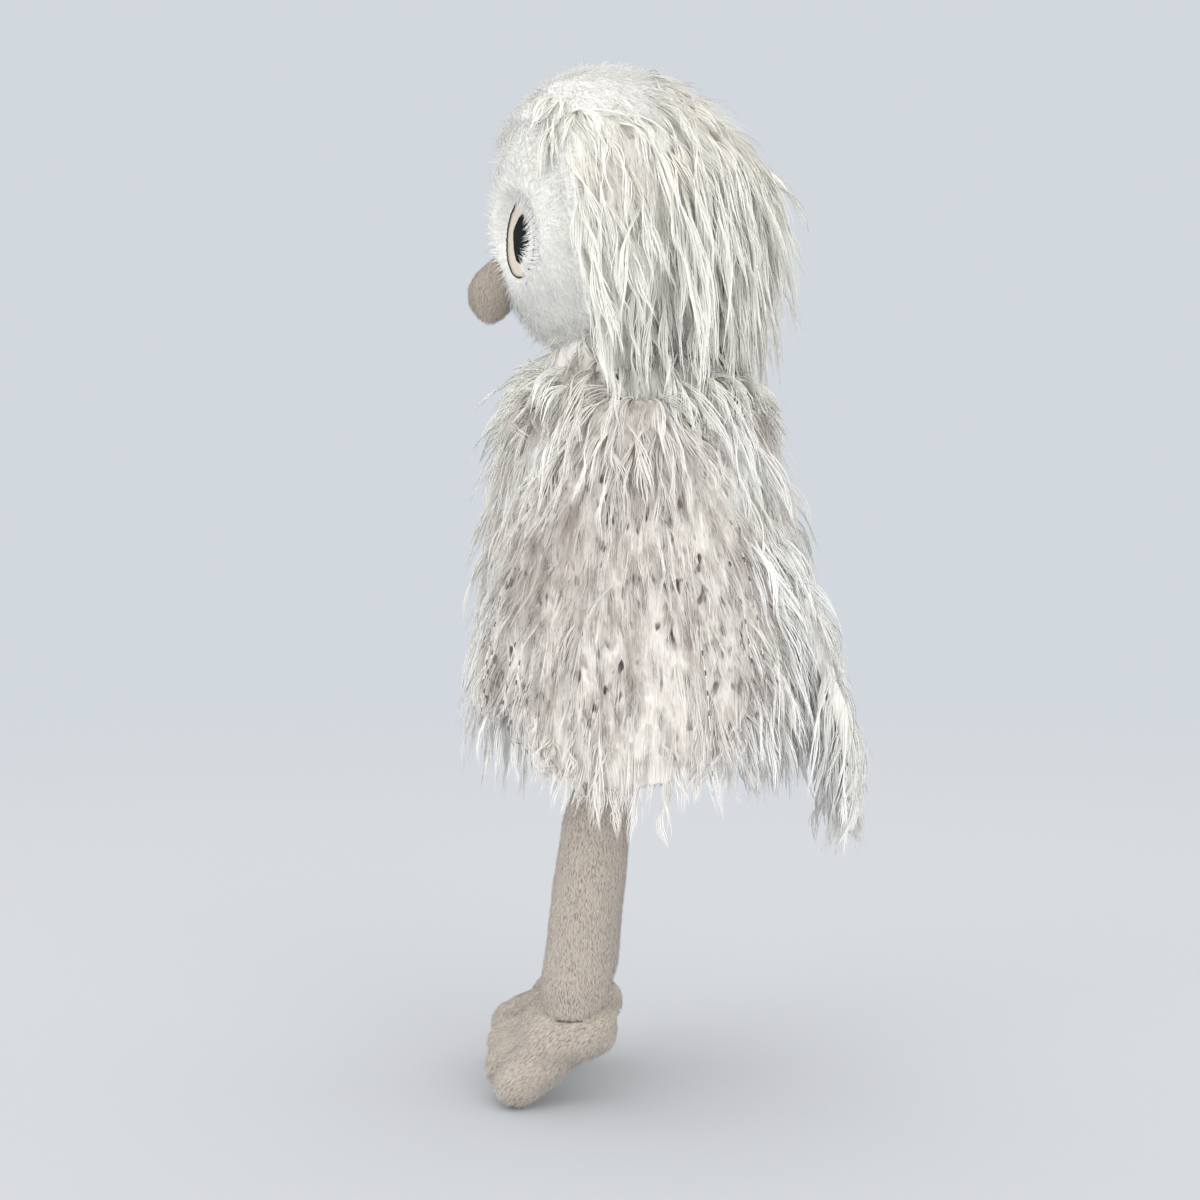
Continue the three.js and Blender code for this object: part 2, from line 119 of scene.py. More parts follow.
def operator(operation: str, swapped: bool = False) -> Callable:
    """Makes the method behind one of Python's operators.

    Args:
        operation: The maths node's operation.
        swapped: Whether the value is the operation's second number, not its first.

    Returns:
        The method.
    """

    def method(value: "Value", other: object) -> "Value":
        """Feeds both numbers to a maths node."""
        first, second = (other, value) if swapped else (value, other)
        return value.graph.node("ShaderNodeMath", {0: first, 1: second}, operation=operation)

    return method


class Value:
    """A shader value that adds, multiplies and divides as numbers do."""

    __add__ = operator("ADD")
    __radd__ = operator("ADD", swapped=True)
    __rsub__ = operator("SUBTRACT", swapped=True)
    __mul__ = operator("MULTIPLY")
    __rmul__ = operator("MULTIPLY", swapped=True)
    __truediv__ = operator("DIVIDE")

    def __init__(self, graph: "Graph", socket: bpy.types.NodeSocket) -> None:
        """Takes one output of a graph's node."""
        self.graph = graph
        self.socket = socket

    def fraction(self) -> "Value":
        """The part of the value after its point."""
        return self.graph.node("ShaderNodeMath", {0: self}, operation="FRACT")

    def step(self, low: float, high: float) -> "Value":
        """Rises smoothly from 0 at low to 1 at high.

        Args:
            low: Where the rise starts.
            high: Where it ends.

        Returns:
            The risen value.
        """
        inputs = {"Value": self, "From Min": low, "From Max": high}
        return self.graph.node("ShaderNodeMapRange", inputs, interpolation_type="SMOOTHSTEP")


class Graph:
    """The node graph of a material or of the world."""

    def __init__(self, owner: bpy.types.Material | bpy.types.World) -> None:
        """Takes over the nodes of a material or world."""
        owner.use_nodes = True
        self.owner = owner
        self.tree = owner.node_tree
        kinds = ("BSDF_PRINCIPLED", "BACKGROUND")
        self.shader = next(node for node in self.tree.nodes if node.type in kinds)

    @classmethod
    def named(cls, name: str) -> "Graph":
        """The graph of a new material, round its principled shader."""
        return cls(bpy.data.materials.new(name))

    def node(self, kind: str, inputs: dict, output: object = 0, **settings: object) -> Value:
        """Adds one node.

        Args:
            kind: The node's type.
            inputs: Values or constants, by input name or number.
            output: The output to return, by name or number.
            settings: The node's own settings.

        Returns:
            The chosen output.
        """
        made = self.tree.nodes.new(kind)
        for name, setting in settings.items():
            setattr(made, name, setting)
        for key, given in inputs.items():
            self._feed(made.inputs[key], given)
        return Value(self, made.outputs[output])

    def _feed(self, socket: bpy.types.NodeSocket, given: object) -> None:
        """Links a value to an input, or sets it to a constant."""
        if isinstance(given, Value):
            self.tree.links.new(given.socket, socket)
        else:
            socket.default_value = given

    def mix(self, low: object, high: object, share: object) -> Value:
        """Mixes two colours.

        Args:
            low: The colour at share 0.
            high: The colour at share 1.
            share: How much of high.

        Returns:
            The mixed colour.
        """
        return self.node("ShaderNodeMix", {0: share, 6: low, 7: high}, 2, data_type="RGBA")

    def channels(self, attribute: str) -> list[Value]:
        """Reads a colour attribute.

        Args:
            attribute: Its name.

        Returns:
            Its red, green and blue channels, then its alpha.
        """
        colour = self.node("ShaderNodeAttribute", {}, "Color", attribute_name=attribute)
        split = [self.node("ShaderNodeSeparateColor", {0: colour}, i) for i in range(3)]
        reader = colour.socket.node
        return [*split, Value(self, reader.outputs["Alpha"])]

    def noise(
        self, scale: float, detail: float = 2.0, stretch: tuple = (1, 1, 1), tilt: float = 0.0
    ) -> Value:
        """Noise over the object's own coordinates.

        Args:
            scale: Waves in a metre.
            detail: Octaves.
            stretch: Scale along each axis.
            tilt: How far the axes are turned about X, in radians.

        Returns:
            The noise, round 0.5.
        """
        place = self.node("ShaderNodeTexCoord", {}, "Object")
        turned = {"Vector": place, "Rotation": (tilt, 0, 0)}
        place = self.node("ShaderNodeMapping", turned)
        place = self.node("ShaderNodeMapping", {"Vector": place, "Scale": stretch})
        return self.node("ShaderNodeTexNoise", {"Vector": place, "Scale": scale, "Detail": detail})

    def spots(self, base: Value, dark: tuple, share: Value) -> Value:
        """Lays soft upright spots over a colour.

        Args:
            base: The colour below.
            dark: The spots' colour.
            share: How strongly they show there.

        Returns:
            The spotted colour.
        """
        spot = self.noise(SPOT_GRAIN, 1.0, SPOT_STRETCH).step(*SPOT_EDGE)
        return self.mix(base, dark, spot * share)

    def bump(self, height: Value, distance: float) -> None:
        """Raises the surface by a height.

        Args:
            height: The height, in shares of distance.
            distance: Metres.
        """
        normal = self.node("ShaderNodeBump", {"Height": height, "Distance": distance})
        self._feed(self.shader.inputs["Normal"], normal)

    def set(self, **inputs: object) -> None:
        """Sets the shader's inputs, whose names have _ for each space.

        Args:
            inputs: Values or constants by input name.
        """
        for name, given in inputs.items():
            self._feed(self.shader.inputs[name.replace("_", " ")], given)

    def finish(self, shader: Value) -> None:
        """Puts another shader out in place of the graph's own."""
        output = next(node for node in self.tree.nodes if node.type.startswith("OUTPUT"))
        self.tree.links.new(shader.socket, output.inputs["Surface"])

    def seen(self) -> Value:
        """1 where the ray shows the backdrop itself, straight or in a gloss, and 0 elsewhere."""
        kinds = ("Is Camera Ray", "Is Glossy Ray", "Is Transmission Ray")
        straight, glossy, through = (self.node("ShaderNodeLightPath", {}, kind) for kind in kinds)
        return straight + glossy + through


def colour(red: float, green: float, blue: float) -> tuple:
    """A linear colour from one as seen on a screen, each channel from 0 to 255."""

    def linear(channel: float) -> float:
        """One channel, from the screen's curve to light."""
        share = channel / 255
        return share / 12.92 if share <= 0.04045 else ((share + 0.055) / 1.055) ** 2.4

    return (linear(red), linear(green), linear(blue), 1.0)


# Soft spots: waves in a metre, their shape, and the noise at which they start and are full.
SPOT_GRAIN = 250.0
SPOT_STRETCH = (1.0, 1.0, 0.40)
SPOT_EDGE = (0.56, 0.68)
# Painted shade in the wandering grooves of a nap, in the same way.
NAP_GRAIN = 1300.0
NAP_STRETCH = (1.0, 1.0, 0.36)
NAP_EDGE = (0.56, 0.42)
FOOT_TILT = math.radians(52)
# Along a fibre: where the tip's colour rises over the root's, which where darker is painted
# shade, and where patches start and give out.
TIP_RISE = (0.0, 0.55)
PATCH_RISE = (0.05, 0.3)
PATCH_FALL = (0.8, 1.0)
# How softly a fleck starts and ends, and how far its end runs out.
DASH_BLUR = 0.03
DASH_FADE = 0.05
# How far across a lock, as a share of half its width, its fibres have flecks.
FLECKED_WIDTH = 0.62


@dataclass(frozen=True)
class FurFinish:
    """Long or short fibres, coloured along their length.

    Attributes:
        name: The material's name.
        root: The colour at the skin; where it is darker than the tip, it is painted shade.
        tip: The colour at the tip.
        patch: The colour of soft patches, halfway along.
        fleck: The colour of the crisp dark flecks.
        spacing: From one fleck to the next along a hair, in metres.
        dash: Where a fleck starts and ends, as shares of that spacing.
        groove: How much painted shade darkens the wandering grooves in a short nap.
        tilt: How far the grooves lean about X, in radians.
        roughness: The fibres' roughness.
        spotted: Whether its flecks are soft spots over many fibres, not dashes on single ones.
    """

    name: str
    root: tuple
    tip: tuple
    patch: tuple
    fleck: tuple
    spacing: float = 0.016
    dash: tuple = (0.38, 0.56)
    groove: float = 0.0
    tilt: float = 0.0
    roughness: float = 0.62
    spotted: bool = False

    def build(self) -> bpy.types.Material:
        """Makes the material.

        Returns:
            A material that reads the attributes "fibre" and "run".
        """
        graph = Graph.named(self.name)
        along, chance, flecks, patches = graph.channels("fibre")
        run = graph.node("ShaderNodeAttribute", {}, "Fac", attribute_name="run")
        # Painted shade: where the root colour is the darker, fibres darken towards the skin.
        base = graph.mix(self.root, self.tip, along.step(*TIP_RISE))
        middle = along.step(*PATCH_RISE) * (1.0 - along.step(*PATCH_FALL))
        base = graph.mix(base, self.patch, patches * middle)
        if self.spotted:
            base = graph.spots(base, self.fleck, flecks)
        else:
            place = (run / (self.spacing / MM) + chance).fraction()
            start, end = self.dash
            begun = place.step(start - DASH_BLUR, start + DASH_BLUR)
            dash = begun * (1 - place.step(end - DASH_BLUR, end + DASH_FADE))
            base = graph.mix(base, self.fleck, dash * flecks)
        # Painted shade: the wandering grooves of a short nap darken towards the patch colour.
        if self.groove:
            line = graph.noise(NAP_GRAIN, 2.0, NAP_STRETCH, self.tilt).step(*NAP_EDGE)
            base = graph.mix(base, self.patch, line * self.groove)
        shade = 0.98 + 0.02 * chance
        base = graph.node("ShaderNodeVectorMath", {0: base, 3: shade}, operation="SCALE")
        graph.set(Base_Color=base, Roughness=self.roughness, Specular_IOR_Level=0.25)
        graph.set(Sheen_Weight=0.3, Sheen_Roughness=0.5)
        return graph.owner


@dataclass(frozen=True)
class ClothFinish:
    """The backing cloth under a pile, or embroidery thread.

    Attributes:
        name: The material's name.
        light: The colour on its raised parts, painted light on the grain.
        dark: The colour in its hollows, painted shade in the grain.
        grain: Waves in a metre.
        relief: How far the grain stands, in metres.
        stretch: The grain's scale along each axis.
        tilt: How far the grain leans about X, in radians.
        sheen: How much it shines at its edges.
        patch: The colour of soft patches, for a skin that has been dyed.
    """

    name: str
    light: tuple
    dark: tuple
    grain: float = 900.0
    relief: float = 0.0008
    stretch: tuple = (1, 1, 0.35)
    tilt: float = 0.0
    sheen: float = 0.3
    patch: tuple | None = None

    def build(self) -> bpy.types.Material:
        """Makes the material.

        Returns:
            A material with a soft directional grain, painted darker in its hollows.
        """
        graph = Graph.named(self.name)
        grain = graph.noise(self.grain, 3.0, self.stretch, self.tilt)
        broad = graph.noise(self.grain / 12)
        # Painted shade in the grain's hollows and painted light on its raised parts, from the
        # noise that also bumps it.
        base = graph.mix(self.dark, self.light, grain.step(0.3, 0.62))
        base = graph.mix(base, self.light, broad.step(0.4, 0.7) * 0.4)
        if self.patch:
            _, _, flecks, patches = graph.channels("fibre")
            base = graph.mix(base, self.patch, patches * 0.5)
            base = graph.spots(base, SOOT, flecks)
        graph.bump(grain, self.relief)
        graph.set(Base_Color=base, Roughness=0.85, Specular_IOR_Level=0.2)
        graph.set(Sheen_Weight=self.sheen)
        return graph.owner


CREAM = colour(254, 253, 247)
OAT = colour(248, 245, 240)
CHALK = colour(254, 254, 252)
SAND = colour(226, 217, 204)
# Painted shade in the grooves of a beige nap and in the hollows of its backing cloth.
GROOVE_SHADE = colour(132, 119, 108)
SMOKE = colour(178, 167, 161)
SOOT = colour(92, 79, 81)
# A beige nap's root and tip colours; the darker root is painted shade.
BEIGE = (colour(192, 182, 171), colour(221, 214, 206))


def nap_backing(name: str, tilt: float = 0.0) -> ClothFinish:
    """The cloth under a beige nap, grooved as the nap is, with painted shade in its grooves."""
    return ClothFinish(name, BEIGE[0], GROOVE_SHADE, NAP_GRAIN, 0.0006, NAP_STRETCH, tilt)


def thread(name: str, light: tuple, dark: tuple, sheen: float = 0.0) -> ClothFinish:
    """Embroidery thread, with a fine grain."""
    return ClothFinish(name, light, dark, grain=2600, relief=0.0002, sheen=sheen)


class Look(Enum):
    """Every finish on the owl."""

    HEAD_FUR = FurFinish("head_fur", colour(254, 251, 240), CREAM, SMOKE, SOOT)
    BODY_FUR = FurFinish("body_fur", colour(254, 253, 247), CHALK, SAND, SOOT)
    WING_FUR = FurFinish("wing_fur", colour(233, 229, 222), OAT, SMOKE, SOOT,
                         spotted=True)
    GUARD_HAIR = FurFinish("guard_hair", CREAM, CREAM, CREAM, SOOT, spacing=0.0090,
                           dash=(0.36, 0.62))
    FACE_PILE = FurFinish("face_pile", CHALK, CHALK, SAND, SOOT)
    LEG_NAP = FurFinish("leg_nap", *BEIGE, GROOVE_SHADE, SOOT, groove=0.2, roughness=0.7)
    FOOT_NAP = FurFinish("foot_nap", *BEIGE, GROOVE_SHADE, SOOT, groove=0.26, tilt=FOOT_TILT,
                         roughness=0.7)
    BEAK_NAP = FurFinish("beak_nap", colour(176, 163, 150), colour(208, 197, 186), GROOVE_SHADE, SOOT,
                         groove=0.14, roughness=0.7)
    SOLE_NAP = FurFinish("sole_nap", colour(204, 194, 183), colour(228, 221, 212), GROOVE_SHADE, SOOT)
    COAT_CLOTH = ClothFinish("coat_cloth", colour(254, 253, 249), colour(249, 247, 241),
                             grain=800, relief=0.0016, stretch=(1, 1, 0.14),
                             tilt=math.radians(12), patch=SMOKE)
    FACE_CLOTH = ClothFinish("face_cloth", colour(249, 248, 242), colour(236, 235, 228))
    WING_CLOTH = ClothFinish("wing_cloth", OAT, colour(226, 219, 210), relief=0.0014,
                             stretch=(1, 1, 0.16), patch=SMOKE)
    LEG_CLOTH = nap_backing("leg_cloth")
    FOOT_CLOTH = nap_backing("foot_cloth", FOOT_TILT)
    SOLE_CLOTH = ClothFinish("sole_cloth", colour(214, 204, 193), colour(192, 181, 170))
    PUPIL_THREAD = thread("pupil_thread", colour(30, 30, 34), colour(10, 10, 12))
    RING_THREAD = thread("ring_thread", colour(226, 217, 201), colour(206, 194, 174), 0.3)
    LINE_THREAD = thread("line_thread", colour(72, 57, 48), colour(36, 28, 25))
    SEAM_THREAD = thread("seam_thread", colour(120, 106, 95), colour(82, 70, 62))

    def material(self) -> bpy.types.Material:
        """The finish's material, made at its first use.

        Returns:
            The material.
        """
        finish = self.value
        return bpy.data.materials.get(finish.name) or finish.build()


# Meshes


def select_only(objects: Iterable[bpy.types.Object]) -> None:
    """Selects these objects alone, with the first one active."""
    bpy.ops.object.select_all(action="DESELECT")
    chosen = list(objects)
    for obj in chosen:
        obj.select_set(True)
    bpy.context.view_layer.objects.active = chosen[0]


def apply_modifier(obj: bpy.types.Object, kind: str, **settings: object) -> None:
    """Adds one modifier to an object and applies it.

    Args:
        obj: The object.
        kind: The modifier's type.
        settings: The modifier's settings.
    """
    select_only([obj])
    bpy.ops.object.modifier_add(type=kind)
    modifier = obj.modifiers[-1]
    for name, setting in settings.items():
        setattr(modifier, name, setting)
    bpy.ops.object.modifier_apply(modifier=modifier.name)


def points_of(mesh: bpy.types.Mesh) -> Array:
    """A mesh's vertices as an array."""
    flat = np.empty(len(mesh.vertices) * 3, dtype=np.float32)
    mesh.vertices.foreach_get("co", flat)
    return flat.reshape(-1, 3).astype(float)


def normals_of(mesh: bpy.types.Mesh) -> Array:
    """A mesh's vertex normals as an array."""
    flat = np.empty(len(mesh.vertices) * 3, dtype=np.float32)
    mesh.vertex_normals.foreach_get("vector", flat)
    return flat.reshape(-1, 3).astype(float)


def unit(vectors: Array) -> Array:
    """The same vectors, one long."""
    return vectors / np.maximum(np.linalg.norm(vectors, axis=-1, keepdims=True), 1e-9)


def rise(values: Array, low: float, high: float) -> Array:
    """Rises smoothly from 0 at low to 1 at high, or falls where low is the higher."""
    share = np.clip((values - low) / (high - low), 0, 1)
    return share * share * (3 - 2 * share)


def ripple(points: Array, size: float, seed: float) -> Array:
    """A smooth irregular field over space.

    Args:
        points: Where it is read.
        size: The size of its swells, in metres.
        seed: Which field.

    Returns:
        One number in each row, mostly from -1 to 1.
    """
    total = np.zeros(len(points))
    for i in range(5):
        turn = seed * 3.7 + i * 2.4
        direction = np.array([math.cos(turn), math.sin(turn * 1.3), math.cos(turn * 0.7 + 1)])
        total += np.sin(points @ direction * (2 * math.pi / size) * (1 + 0.37 * i) + turn * 5)
    return total / 2.2


def held_in(points: Array) -> Array:
    """Presses what strays too far out back inside the furthest that fur may reach."""
    over = np.maximum(np.abs(points) - (REACH - EASE), 0)
    near = np.minimum(np.abs(points), REACH - EASE)
    return np.sign(points) * (near + EASE * (1 - np.exp(-over / EASE)))


def blob(points: Array, centre: tuple, radius: float) -> Array:
    """A soft round spot, 1 at its centre, that takes no heed of X."""
    away = np.linalg.norm(points[:, 1:] - np.array(centre), axis=1)
    return np.exp(-((away / radius) ** 2))


def blots(points: Array, table: tuple) -> Array:
    """Several soft round spots together, from each one's centre, radius and strength."""
    return sum(strength * blob(points, centre, radius) for centre, radius, strength in table)


def between(values: Array, low: float, high: float) -> Array:
    """Whether each value lies between two others."""
    return (values > low) & (values < high)


def fluff(points: Array, height: float) -> Array:
    """The relief of soft hanging fur, in long shallow swells of that height."""
    flow = points * vec(1, 1, 0.28)
    return height * (0.6 * ripple(flow, 0.012, 3.0) + 0.4 * ripple(flow, 0.006, 8.0))


def sway(points: Array, size: float, seed: float, reach: tuple) -> Array:
    """A direction that wavers over space, as far along each axis as reach says."""
    return ripple(points, size, seed)[:, None] * np.array(reach)


def outward(points: Array, middle: Array) -> Array:
    """The level way to each point from the upright line through a place."""
    return unit((points - middle) * LEVEL)


def even(value: float) -> Field:
    """A field that is the same everywhere."""
    return lambda points: np.full(len(points), value)


zeros = even(0.0)
ones = even(1.0)


def turns_of(count: int) -> Array:
    """Evenly spaced angles, once round."""
    return np.arange(count) / count * 2 * math.pi


def circle_at(turns: Array) -> Array:
    """The points of a circle, one across, at those angles."""
    return np.stack([np.cos(turns), np.sin(turns)], axis=1)


class Skin:
    """A smooth stuffed skin made from the CAD solids that it stands for."""

    def __init__(self, made: bpy.types.Object) -> None:
        """Takes a finished object as a skin."""
        self.object = made

    @classmethod
    def wrap(cls, name: str, nodes: Iterable[str], voxel: float, smooth: int) -> "Skin":
        """Wraps CAD nodes in one skin, as large as they are.

        Args:
            name: The new object's name.
            nodes: The CAD nodes to wrap.
            voxel: The size of its mesh, in metres.
            smooth: How many rounds of smoothing it gets.

        Returns:
            The skin.
        """
        select_only(frame["nodes"][node] for node in nodes)
        bpy.ops.object.duplicate()
        copies = list(bpy.context.selected_objects)
        bpy.context.view_layer.objects.active = copies[0]
        if len(copies) > 1:
            bpy.ops.object.join()
        skin = cls(bpy.context.view_layer.objects.active)
        bpy.ops.object.parent_clear(type="CLEAR_KEEP_TRANSFORM")
        skin.object.data.materials.clear()
        apply_modifier(skin.object, "REMESH", mode="VOXEL", voxel_size=voxel)
        skin._keep_outer_shell()
        skin.rename(name)
        apply_modifier(skin.object, "SMOOTH", iterations=smooth, factor=0.5)
        select_only([skin.object])
        bpy.ops.object.shade_smooth()
        return skin

    def copy(self, name: str) -> "Skin":
        """Copies the skin under another name."""
        select_only([self.object])
        bpy.ops.object.duplicate()
        other = Skin(bpy.context.view_layer.objects.active)
        other.rename(name)
        return other

    def rename(self, name: str) -> None:
        """Names the object and its mesh."""
        self.object.name = self.object.data.name = name

    def _keep_outer_shell(self) -> None:
        """Drops the shells inside, of which the largest is always the outer one."""
        select_only([self.object])
        bpy.ops.mesh.separate(type="LOOSE")
        parts = sorted(bpy.context.selected_objects, key=lambda o: -len(o.data.vertices))
        for rest in parts[1:]:
            bpy.data.objects.remove(rest)
        self.object = parts[0]

    def swell(self, amount: Field) -> None:
        """Moves each point along its normal.

        Args:
            amount: How far, in metres, from the points.
        """
        mesh = self.object.data
        points = points_of(mesh)
        moved = points + normals_of(mesh) * amount(points)[:, None]
        mesh.vertices.foreach_set("co", moved.ravel().astype(np.float32))
        mesh.update()

    def cut(self, name: str, place: Vector, normal: Vector) -> "Skin":
        """Cuts the skin by a plane and closes both parts.

        Args:
            name: The new part's name.
            place: A point on the plane.
            normal: The plane's normal, which points at the new part.

        Returns:
            The new part.
        """
        other = self.copy(name)
        for part, above in ((self, False), (other, True)):
            select_only([part.object])
            bpy.ops.object.mode_set(mode="EDIT")
            bpy.ops.mesh.select_all(action="SELECT")
            bpy.ops.mesh.bisect(
                plane_co=place, plane_no=normal, use_fill=True,
                clear_inner=above, clear_outer=not above,
            )
            bpy.ops.object.mode_set(mode="OBJECT")
        return other

    def paint(self, look: Look) -> None:
        """Gives the whole skin one finish."""
        self.object.data.materials.clear()
        self.object.data.materials.append(look.material())
        log.info("%s: %d faces", self.object.name, len(self.object.data.polygons))

    def line(self, coat: Look, lining: Look, lined: Callable) -> None:
        """Gives the skin one finish, and another where it is lined.

        Args:
            coat: The finish outside.
            lining: The lining's finish.
            lined: Whether a face belongs to the lining.
        """
        for look in (coat, lining):
            self.object.data.materials.append(look.material())
        for face in self.object.data.polygons:
            face.material_index = int(lined(face))

    def dye(self, patches: Field, flecks: Field = zeros) -> None:
        """Marks the skin as its fur is marked.

        Args:
            patches: How much of the patch colour shows, from the points.
            flecks: How strongly the flecks show.
        """
        points = points_of(self.object.data)
        nothing = zeros(points)
        facts = np.stack([nothing, nothing, flecks(points), patches(points)], axis=1)
        add_attribute(self.object.data, "fibre", "FLOAT_COLOR", facts)

    def tree(self) -> BVHTree:
        """A search tree over the skin."""
        return tree_of([self])

    def sample(self, spacing: float, rng: Rng, where: Mask) -> tuple:
        """Scatters roots over the skin, about evenly.

        Args:
            spacing: The distance between neighbours, in metres.
            rng: Where its chances come from.
            where: Which roots to keep, from the points and their normals.

        Returns:
            The roots and their normals.
        """
        mesh = self.object.data
        mesh.calc_loop_triangles()
        corners = np.empty(len(mesh.loop_triangles) * 3, dtype=np.int32)
        mesh.loop_triangles.foreach_get("vertices", corners)
        corners = corners.reshape(-1, 3)
        points, soft = points_of(mesh), normals_of(mesh)
        a, b, c = (points[corners[:, i]] for i in range(3))
        area = np.linalg.norm(np.cross(b - a, c - a), axis=1) / 2
        tries = int(area.sum() / spacing**2 * 4)
        picked = rng.choice(len(area), tries, p=area / area.sum())
        u, v = rng.random((2, tries, 1))
        over = u + v > 1
        u, v = np.where(over, 1 - u, u), np.where(over, 1 - v, v)
        roots = a[picked] + (b - a)[picked] * u + (c - a)[picked] * v
        n0, n1, n2 = (soft[corners[picked, i]] for i in range(3))
        normals = unit(n0 * (1 - u - v) + n1 * u + n2 * v)
        cells = np.floor(roots / (spacing * 1.15)).astype(np.int64)
        _, first = np.unique(cells, axis=0, return_index=True)
        first = np.sort(first)
        roots, normals = roots[first], normals[first]
        kept = where(roots, normals)
        return roots[kept], normals[kept]


def tree_of(skins: Iterable[Skin]) -> BVHTree:
    """A search tree over several skins together."""
    points: list = []
    faces: list = []
    for skin in skins:
        start = len(points)
        mesh = skin.object.data
        points += [v.co.copy() for v in mesh.vertices]
        faces += [[start + i for i in p.vertices] for p in mesh.polygons]
    return BVHTree.FromPolygons(points, faces)


def build_mesh(name: str, points: Array, faces: Array) -> bpy.types.Object:
    """Makes a smooth object of triangles.

    Args:
        name: Its name.
        points: Its vertices.
        faces: Three vertex numbers for each triangle.

    Returns:
        The object, in the scene.
    """
    mesh = bpy.data.meshes.new(name)
    mesh.vertices.add(len(points))
    mesh.vertices.foreach_set("co", points.ravel().astype(np.float32))
    mesh.loops.add(faces.size)
    mesh.loops.foreach_set("vertex_index", faces.ravel().astype(np.int32))
    mesh.polygons.add(len(faces))
    mesh.polygons.foreach_set("loop_start", np.arange(0, faces.size, 3, dtype=np.int32))
    mesh.polygons.foreach_set("use_smooth", np.ones(len(faces), dtype=bool))
    mesh.update(calc_edges=True)
    made = bpy.data.objects.new(name, mesh)
    bpy.context.scene.collection.objects.link(made)
    return made


def add_attribute(mesh: bpy.types.Mesh, name: str, kind: str, values: Array) -> None:
    """Stores one number or colour for each vertex.

    Args:
        mesh: The mesh.
        name: The attribute's name.
        kind: Its data type, FLOAT or FLOAT_COLOR.
        values: The values, in vertex order.
    """
    attribute = mesh.attributes.new(name, kind, "POINT")
    key = "value" if kind == "FLOAT" else "color"
    attribute.data.foreach_set(key, values.ravel().astype(np.float32))


def tube_faces(tubes: int, rings: int, corners: int = 3) -> Array:
    """The triangles of many closed tubes that end in a point.

    Args:
        tubes: How many there are, each with its own points.
        rings: Rings of points in each, before its tip.
        corners: Points in a ring.

    Returns:
        Three vertex numbers for each triangle.
    """
    one = [(0, i + 1, i) for i in range(1, corners - 1)]
    for ring in range(rings - 1):
        low = ring * corners
        for i in range(corners):
            j = (i + 1) % corners
            one += [(low + i, low + j, low + corners + j)]
            one += [(low + i, low + corners + j, low + corners + i)]
    tip = corners * rings
    one += [(tip - corners + i, tip - corners + (i + 1) % corners, tip) for i in range(corners)]
    start = np.arange(tubes)[:, None, None] * (tip + 1)
    return (np.array(one)[None] + start).reshape(-1, 3)


# Fur


@dataclass(frozen=True)
class Pile:
    """How one kind of fur grows, lies and ends. Lengths in metres.

    Attributes:
        spacing: Between lock roots.
        length: The shortest and longest lock.
        width: A lock's half width at its widest.
        fibres: Fibres in a lock.
        radius: A fibre's radius at its root.
        lift: How much of the root's direction stands off the skin.
        droop: How much gravity bends a lock over its length.
        cling: How closely a lock follows the comb over its length.
        layer: The lowest and highest clearance over the skin.
        wave: How far a lock sways from side to side.
        waves: Sways along a lock.
        twist: Turns of a lock's flat section along it.
        fray: How far single fibres stray from their lock, as a share of its width.
        stray: How far a lock's first direction strays from the comb.
        rings: Rings in a fibre's mesh.
        softness: How much a whole lock is shaded as one soft tuft.
        bead: How much a hair thickens at a fleck.
    """

    spacing: float
    length: tuple
    width: float
    fibres: int
    radius: float
    lift: float
    droop: float = 0.5
    cling: float = 0.8
    layer: tuple = (0.001, 0.008)
    wave: float = 0.0
    waves: float = 1.0
    twist: float = 0.25
    fray: float = 0.35
    stray: float = 0.15
    rings: int = 5
    softness: float = 0.6
    bead: float = 0.0


# Soft underfur.
TUFT = Pile(spacing=0.0066, length=(0.018, 0.030), width=0.0034, fibres=11, radius=0.00014,
            lift=0.45, layer=(0.0003, 0.0022), wave=0.0016, waves=0.9, twist=0.3, fray=0.5,
            stray=0.24, rings=4)
# Long locks.
LOCK = Pile(spacing=0.0120, length=(0.038, 0.060), width=0.0033, fibres=11, radius=0.00034,
            lift=0.40, droop=0.8, cling=0.6, layer=(0.0008, 0.0032), wave=0.0046, waves=1.3,
            twist=0.7, fray=0.24, stray=0.26, rings=7)
# Short single fibres.
NAP = Pile(spacing=0.00102, length=(0.0020, 0.0030), width=0.0, fibres=1, radius=0.00021,
           lift=0.8, droop=0.2, cling=0.5, layer=(0.0, 0.001), twist=0.0, fray=0.0, stray=0.3,
           rings=1)


